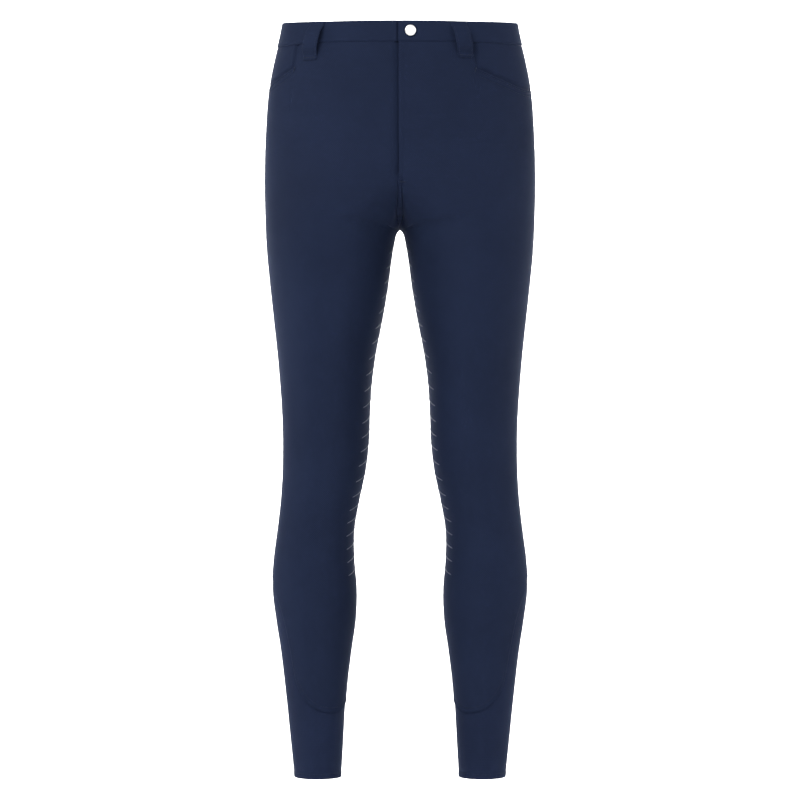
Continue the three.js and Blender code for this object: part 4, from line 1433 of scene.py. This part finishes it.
MATERIALS = {
    "main": lambda s: cloth_material("breeches_cloth", s.cloth_colour, 1.6, 0.12, rib=False),
    "cuff": lambda s: cloth_material("cuff_cloth", s.cuff_colour, 1.2, 0.16, rib=True),
    "grip": lambda s: grip_material(s.grip_painted_glint_colour),
    "thread": lambda s: thread_material(s.thread_colour),
    "metal": lambda s: metal_material(s.metal_colour),
}
made_materials = {}


def material_of(key):
    if key not in made_materials:
        made_materials[key] = MATERIALS[key](settings())
    return made_materials[key]


# Stage

CAMERA_DISTANCE = 5.0
CAMERA_HEIGHT = -0.478
FRAME_WIDTH = 1.04  # metres across the picture at the object
SENSOR_WIDTH = 36.0
FLOOR_Z = -1.55
FLOOR_HALF_WIDTH = 10.0
FLOOR_DEPTH = (-10.0, 8.0)
BACKDROP_HEIGHT = 7.0
BACKDROP_BEND = 2.0
BACKDROP_STEPS = 24
WORLD_STRENGTH = 0.3
MIDDLE = (0, 0, -0.45)
# Each light's name, place, the point that it faces, its width and height, and its power
LIGHTS = [
    ("key", (-1.9, -2.8, 2.4), MIDDLE, (2.2, 2.2), 144),
    ("fill", (2.6, -3.4, 0.9), MIDDLE, (2.2, 2.6), 45),
    ("front_card", (0, -8.0, 1.5), MIDDLE, (5.0, 6.0), 120),
    ("left_strip", (-2.6, 0.3, 0.0), MIDDLE, (0.8, 2.6), 29),
    ("right_strip", (2.6, 0.3, 0.0), MIDDLE, (0.8, 2.6), 24),
    ("backdrop_light", (0, 5.8, 3.0), (0, 8.0, 0.7), (7.0, 1.2), 800),
]


def build_backdrop():
    """A pale floor that curves up into a backdrop behind the breeches."""
    line = [(FLOOR_DEPTH[0], FLOOR_Z)]
    for a in np.linspace(0, 0.5 * math.pi, BACKDROP_STEPS):
        y = FLOOR_DEPTH[1] - BACKDROP_BEND + BACKDROP_BEND * math.sin(a)
        line.append((y, FLOOR_Z + BACKDROP_BEND * (1 - math.cos(a))))
    line.append((FLOOR_DEPTH[1], FLOOR_Z + BACKDROP_HEIGHT))
    points = [(x / MM, y / MM, z / MM) for x in (-FLOOR_HALF_WIDTH, FLOOR_HALF_WIDTH) for y, z in line]
    count = len(line)
    faces = [(k, k + count, k + count + 1, k + 1) for k in range(count - 1)]
    floor = make_object("floor", points, faces, white_material())


def add_light(name, place_at, aim_at, size, power):
    light = bpy.data.lights.new(name, "AREA")
    light.shape = "RECTANGLE"
    light.size, light.size_y = size
    light.energy = power
    obj = bpy.data.objects.new(name, light)
    obj.location = place_at
    obj.rotation_euler = (Vector(aim_at) - Vector(place_at)).to_track_quat("-Z", "Y").to_euler()
    bpy.context.scene.collection.objects.link(obj)


def build_stage():
    scene = bpy.context.scene
    build_backdrop()
    world = bpy.data.worlds.new("studio")
    world.use_nodes = True
    background = world.node_tree.nodes["Background"]
    background.inputs["Color"].default_value = (1, 1, 1, 1)
    background.inputs["Strength"].default_value = WORLD_STRENGTH
    scene.world = world
    for light in LIGHTS:
        add_light(*light)

    camera = bpy.data.cameras.new("camera")
    camera.sensor_width = SENSOR_WIDTH
    camera.lens = SENSOR_WIDTH * CAMERA_DISTANCE / FRAME_WIDTH
    obj = bpy.data.objects.new("camera", camera)
    obj.location = (0, -CAMERA_DISTANCE, CAMERA_HEIGHT)
    obj.rotation_euler = (math.radians(90), 0, 0)
    scene.collection.objects.link(obj)
    scene.camera = obj
    scene.view_settings.view_transform = "Standard"
    scene.view_settings.look = "None"


# The add-on


def colour_setting(name, description, colour):
    return bpy.props.FloatVectorProperty(
        name=name, description=description, subtype="COLOR", min=0, max=1, default=colour
    )


class BreechesSettings(bpy.types.PropertyGroup):
    """Sizes and colours of the breeches."""

    cloth_colour: colour_setting("Cloth", "Colour of the leg and waist cloth", (0.0092, 0.0148, 0.0362))
    cuff_colour: colour_setting("Cuffs", "Colour of the stretch cuffs", (0.0096, 0.0153, 0.0382))
    thread_colour: colour_setting("Thread", "Colour of the sewing thread", (0.0090, 0.0142, 0.0345))
    # The grip lines' colour is lighter than the cloth: painted highlight for their glints
    grip_painted_glint_colour: colour_setting("Grip", "Colour of the silicone grip lines", (0.070, 0.081, 0.125))
    metal_colour: colour_setting("Button", "Colour of the button's metal", (0.93, 0.93, 0.91))
    crease_strength: bpy.props.FloatProperty(
        name="Creases", description="How deep the cloth's creases are", default=1.0, min=0, max=2,
    )
    row_spacing: bpy.props.FloatProperty(
        name="Row Spacing", description="Millimetres between the leg panels' rows", default=3.2, min=2,
    )
    grip_width: bpy.props.FloatProperty(
        name="Grip Width", description="Width of a grip line", default=0.0014, unit="LENGTH",
    )
    grip_height: bpy.props.FloatProperty(
        name="Grip Height", description="Height of a grip line", default=0.0005, unit="LENGTH",
    )


def settings():
    return bpy.context.scene.breeches


class BREECHES_OT_legs(bpy.types.Operator):
    """Build the front and back leg panels"""

    bl_idname = "breeches.legs"
    bl_label = "Leg Panels"

    def execute(self, context):
        for side in SIDES:
            build_leg_panel("front", side, material_of("main"))
            build_leg_panel("back", side, material_of("main"))
        return {"FINISHED"}


class BREECHES_OT_pockets(bpy.types.Operator):
    """Build the cloth inside the scooped front pockets"""

    bl_idname = "breeches.pockets"
    bl_label = "Pocket Facings"

    def execute(self, context):
        for side in SIDES:
            build_pocket_facing(side, material_of("main"))
        return {"FINISHED"}


class BREECHES_OT_waist(bpy.types.Operator):
    """Build the waistband and the strip behind the fly"""

    bl_idname = "breeches.waist"
    bl_label = "Waistband and Fly"

    def execute(self, context):
        build_waistband(material_of("main"))
        build_fly_shield(material_of("main"))
        return {"FINISHED"}


class BREECHES_OT_loops(bpy.types.Operator):
    """Build the five belt loops"""

    bl_idname = "breeches.loops"
    bl_label = "Belt Loops"

    def execute(self, context):
        for key in LOOPS:
            build_belt_loop(key, material_of("main"))
        return {"FINISHED"}


class BREECHES_OT_cuffs(bpy.types.Operator):
    """Build the stretch cuffs with their turned hems"""

    bl_idname = "breeches.cuffs"
    bl_label = "Cuffs"

    def execute(self, context):
        for side in SIDES:
            build_cuff(side, material_of("cuff"))
        return {"FINISHED"}


class BREECHES_OT_grip(bpy.types.Operator):
    """Build the silicone grip lines of the inner legs"""

    bl_idname = "breeches.grip"
    bl_label = "Grip Lines"

    def execute(self, context):
        for side in SIDES:
            build_grip_lines(side, material_of("grip"))
        return {"FINISHED"}


class BREECHES_OT_sewing(bpy.types.Operator):
    """Build the rows of stitches and the bars at the pockets, loops and fly"""

    bl_idname = "breeches.sewing"
    bl_label = "Sewing"

    def execute(self, context):
        build_sewing(material_of("thread"))
        return {"FINISHED"}


class BREECHES_OT_button(bpy.types.Operator):
    """Build the metal button"""

    bl_idname = "breeches.button"
    bl_label = "Button"

    def execute(self, context):
        build_button(material_of("metal"))
        return {"FINISHED"}


class BREECHES_OT_stage(bpy.types.Operator):
    """Build the floor, lights and camera"""

    bl_idname = "breeches.stage"
    bl_label = "Stage"

    def execute(self, context):
        build_stage()
        return {"FINISHED"}


PIECE_OPERATORS = (
    BREECHES_OT_stage,
    BREECHES_OT_legs,
    BREECHES_OT_pockets,
    BREECHES_OT_waist,
    BREECHES_OT_loops,
    BREECHES_OT_cuffs,
    BREECHES_OT_grip,
    BREECHES_OT_sewing,
    BREECHES_OT_button,
)


class BREECHES_PT_panel(bpy.types.Panel):
    """Lists the breeches' pieces and settings"""

    bl_idname = "BREECHES_PT_panel"
    bl_label = "Riding Breeches"
    bl_space_type = "VIEW_3D"
    bl_region_type = "UI"
    bl_category = "Breeches"

    def draw(self, context):
        column = self.layout.column()
        for name in BreechesSettings.__annotations__:
            column.prop(context.scene.breeches, name)
        for operator in PIECE_OPERATORS:
            column.operator(operator.bl_idname)


CLASSES = (BreechesSettings, *PIECE_OPERATORS, BREECHES_PT_panel)


def register():
    for cls in CLASSES:
        bpy.utils.register_class(cls)
    bpy.types.Scene.breeches = bpy.props.PointerProperty(type=BreechesSettings)


def unregister():
    del bpy.types.Scene.breeches
    for cls in reversed(CLASSES):
        bpy.utils.unregister_class(cls)


def main():
    register()
    for operator in PIECE_OPERATORS:
        group, name = operator.bl_idname.split(".")
        getattr(getattr(bpy.ops, group), name)()


if __name__ == "__main__":
    main()
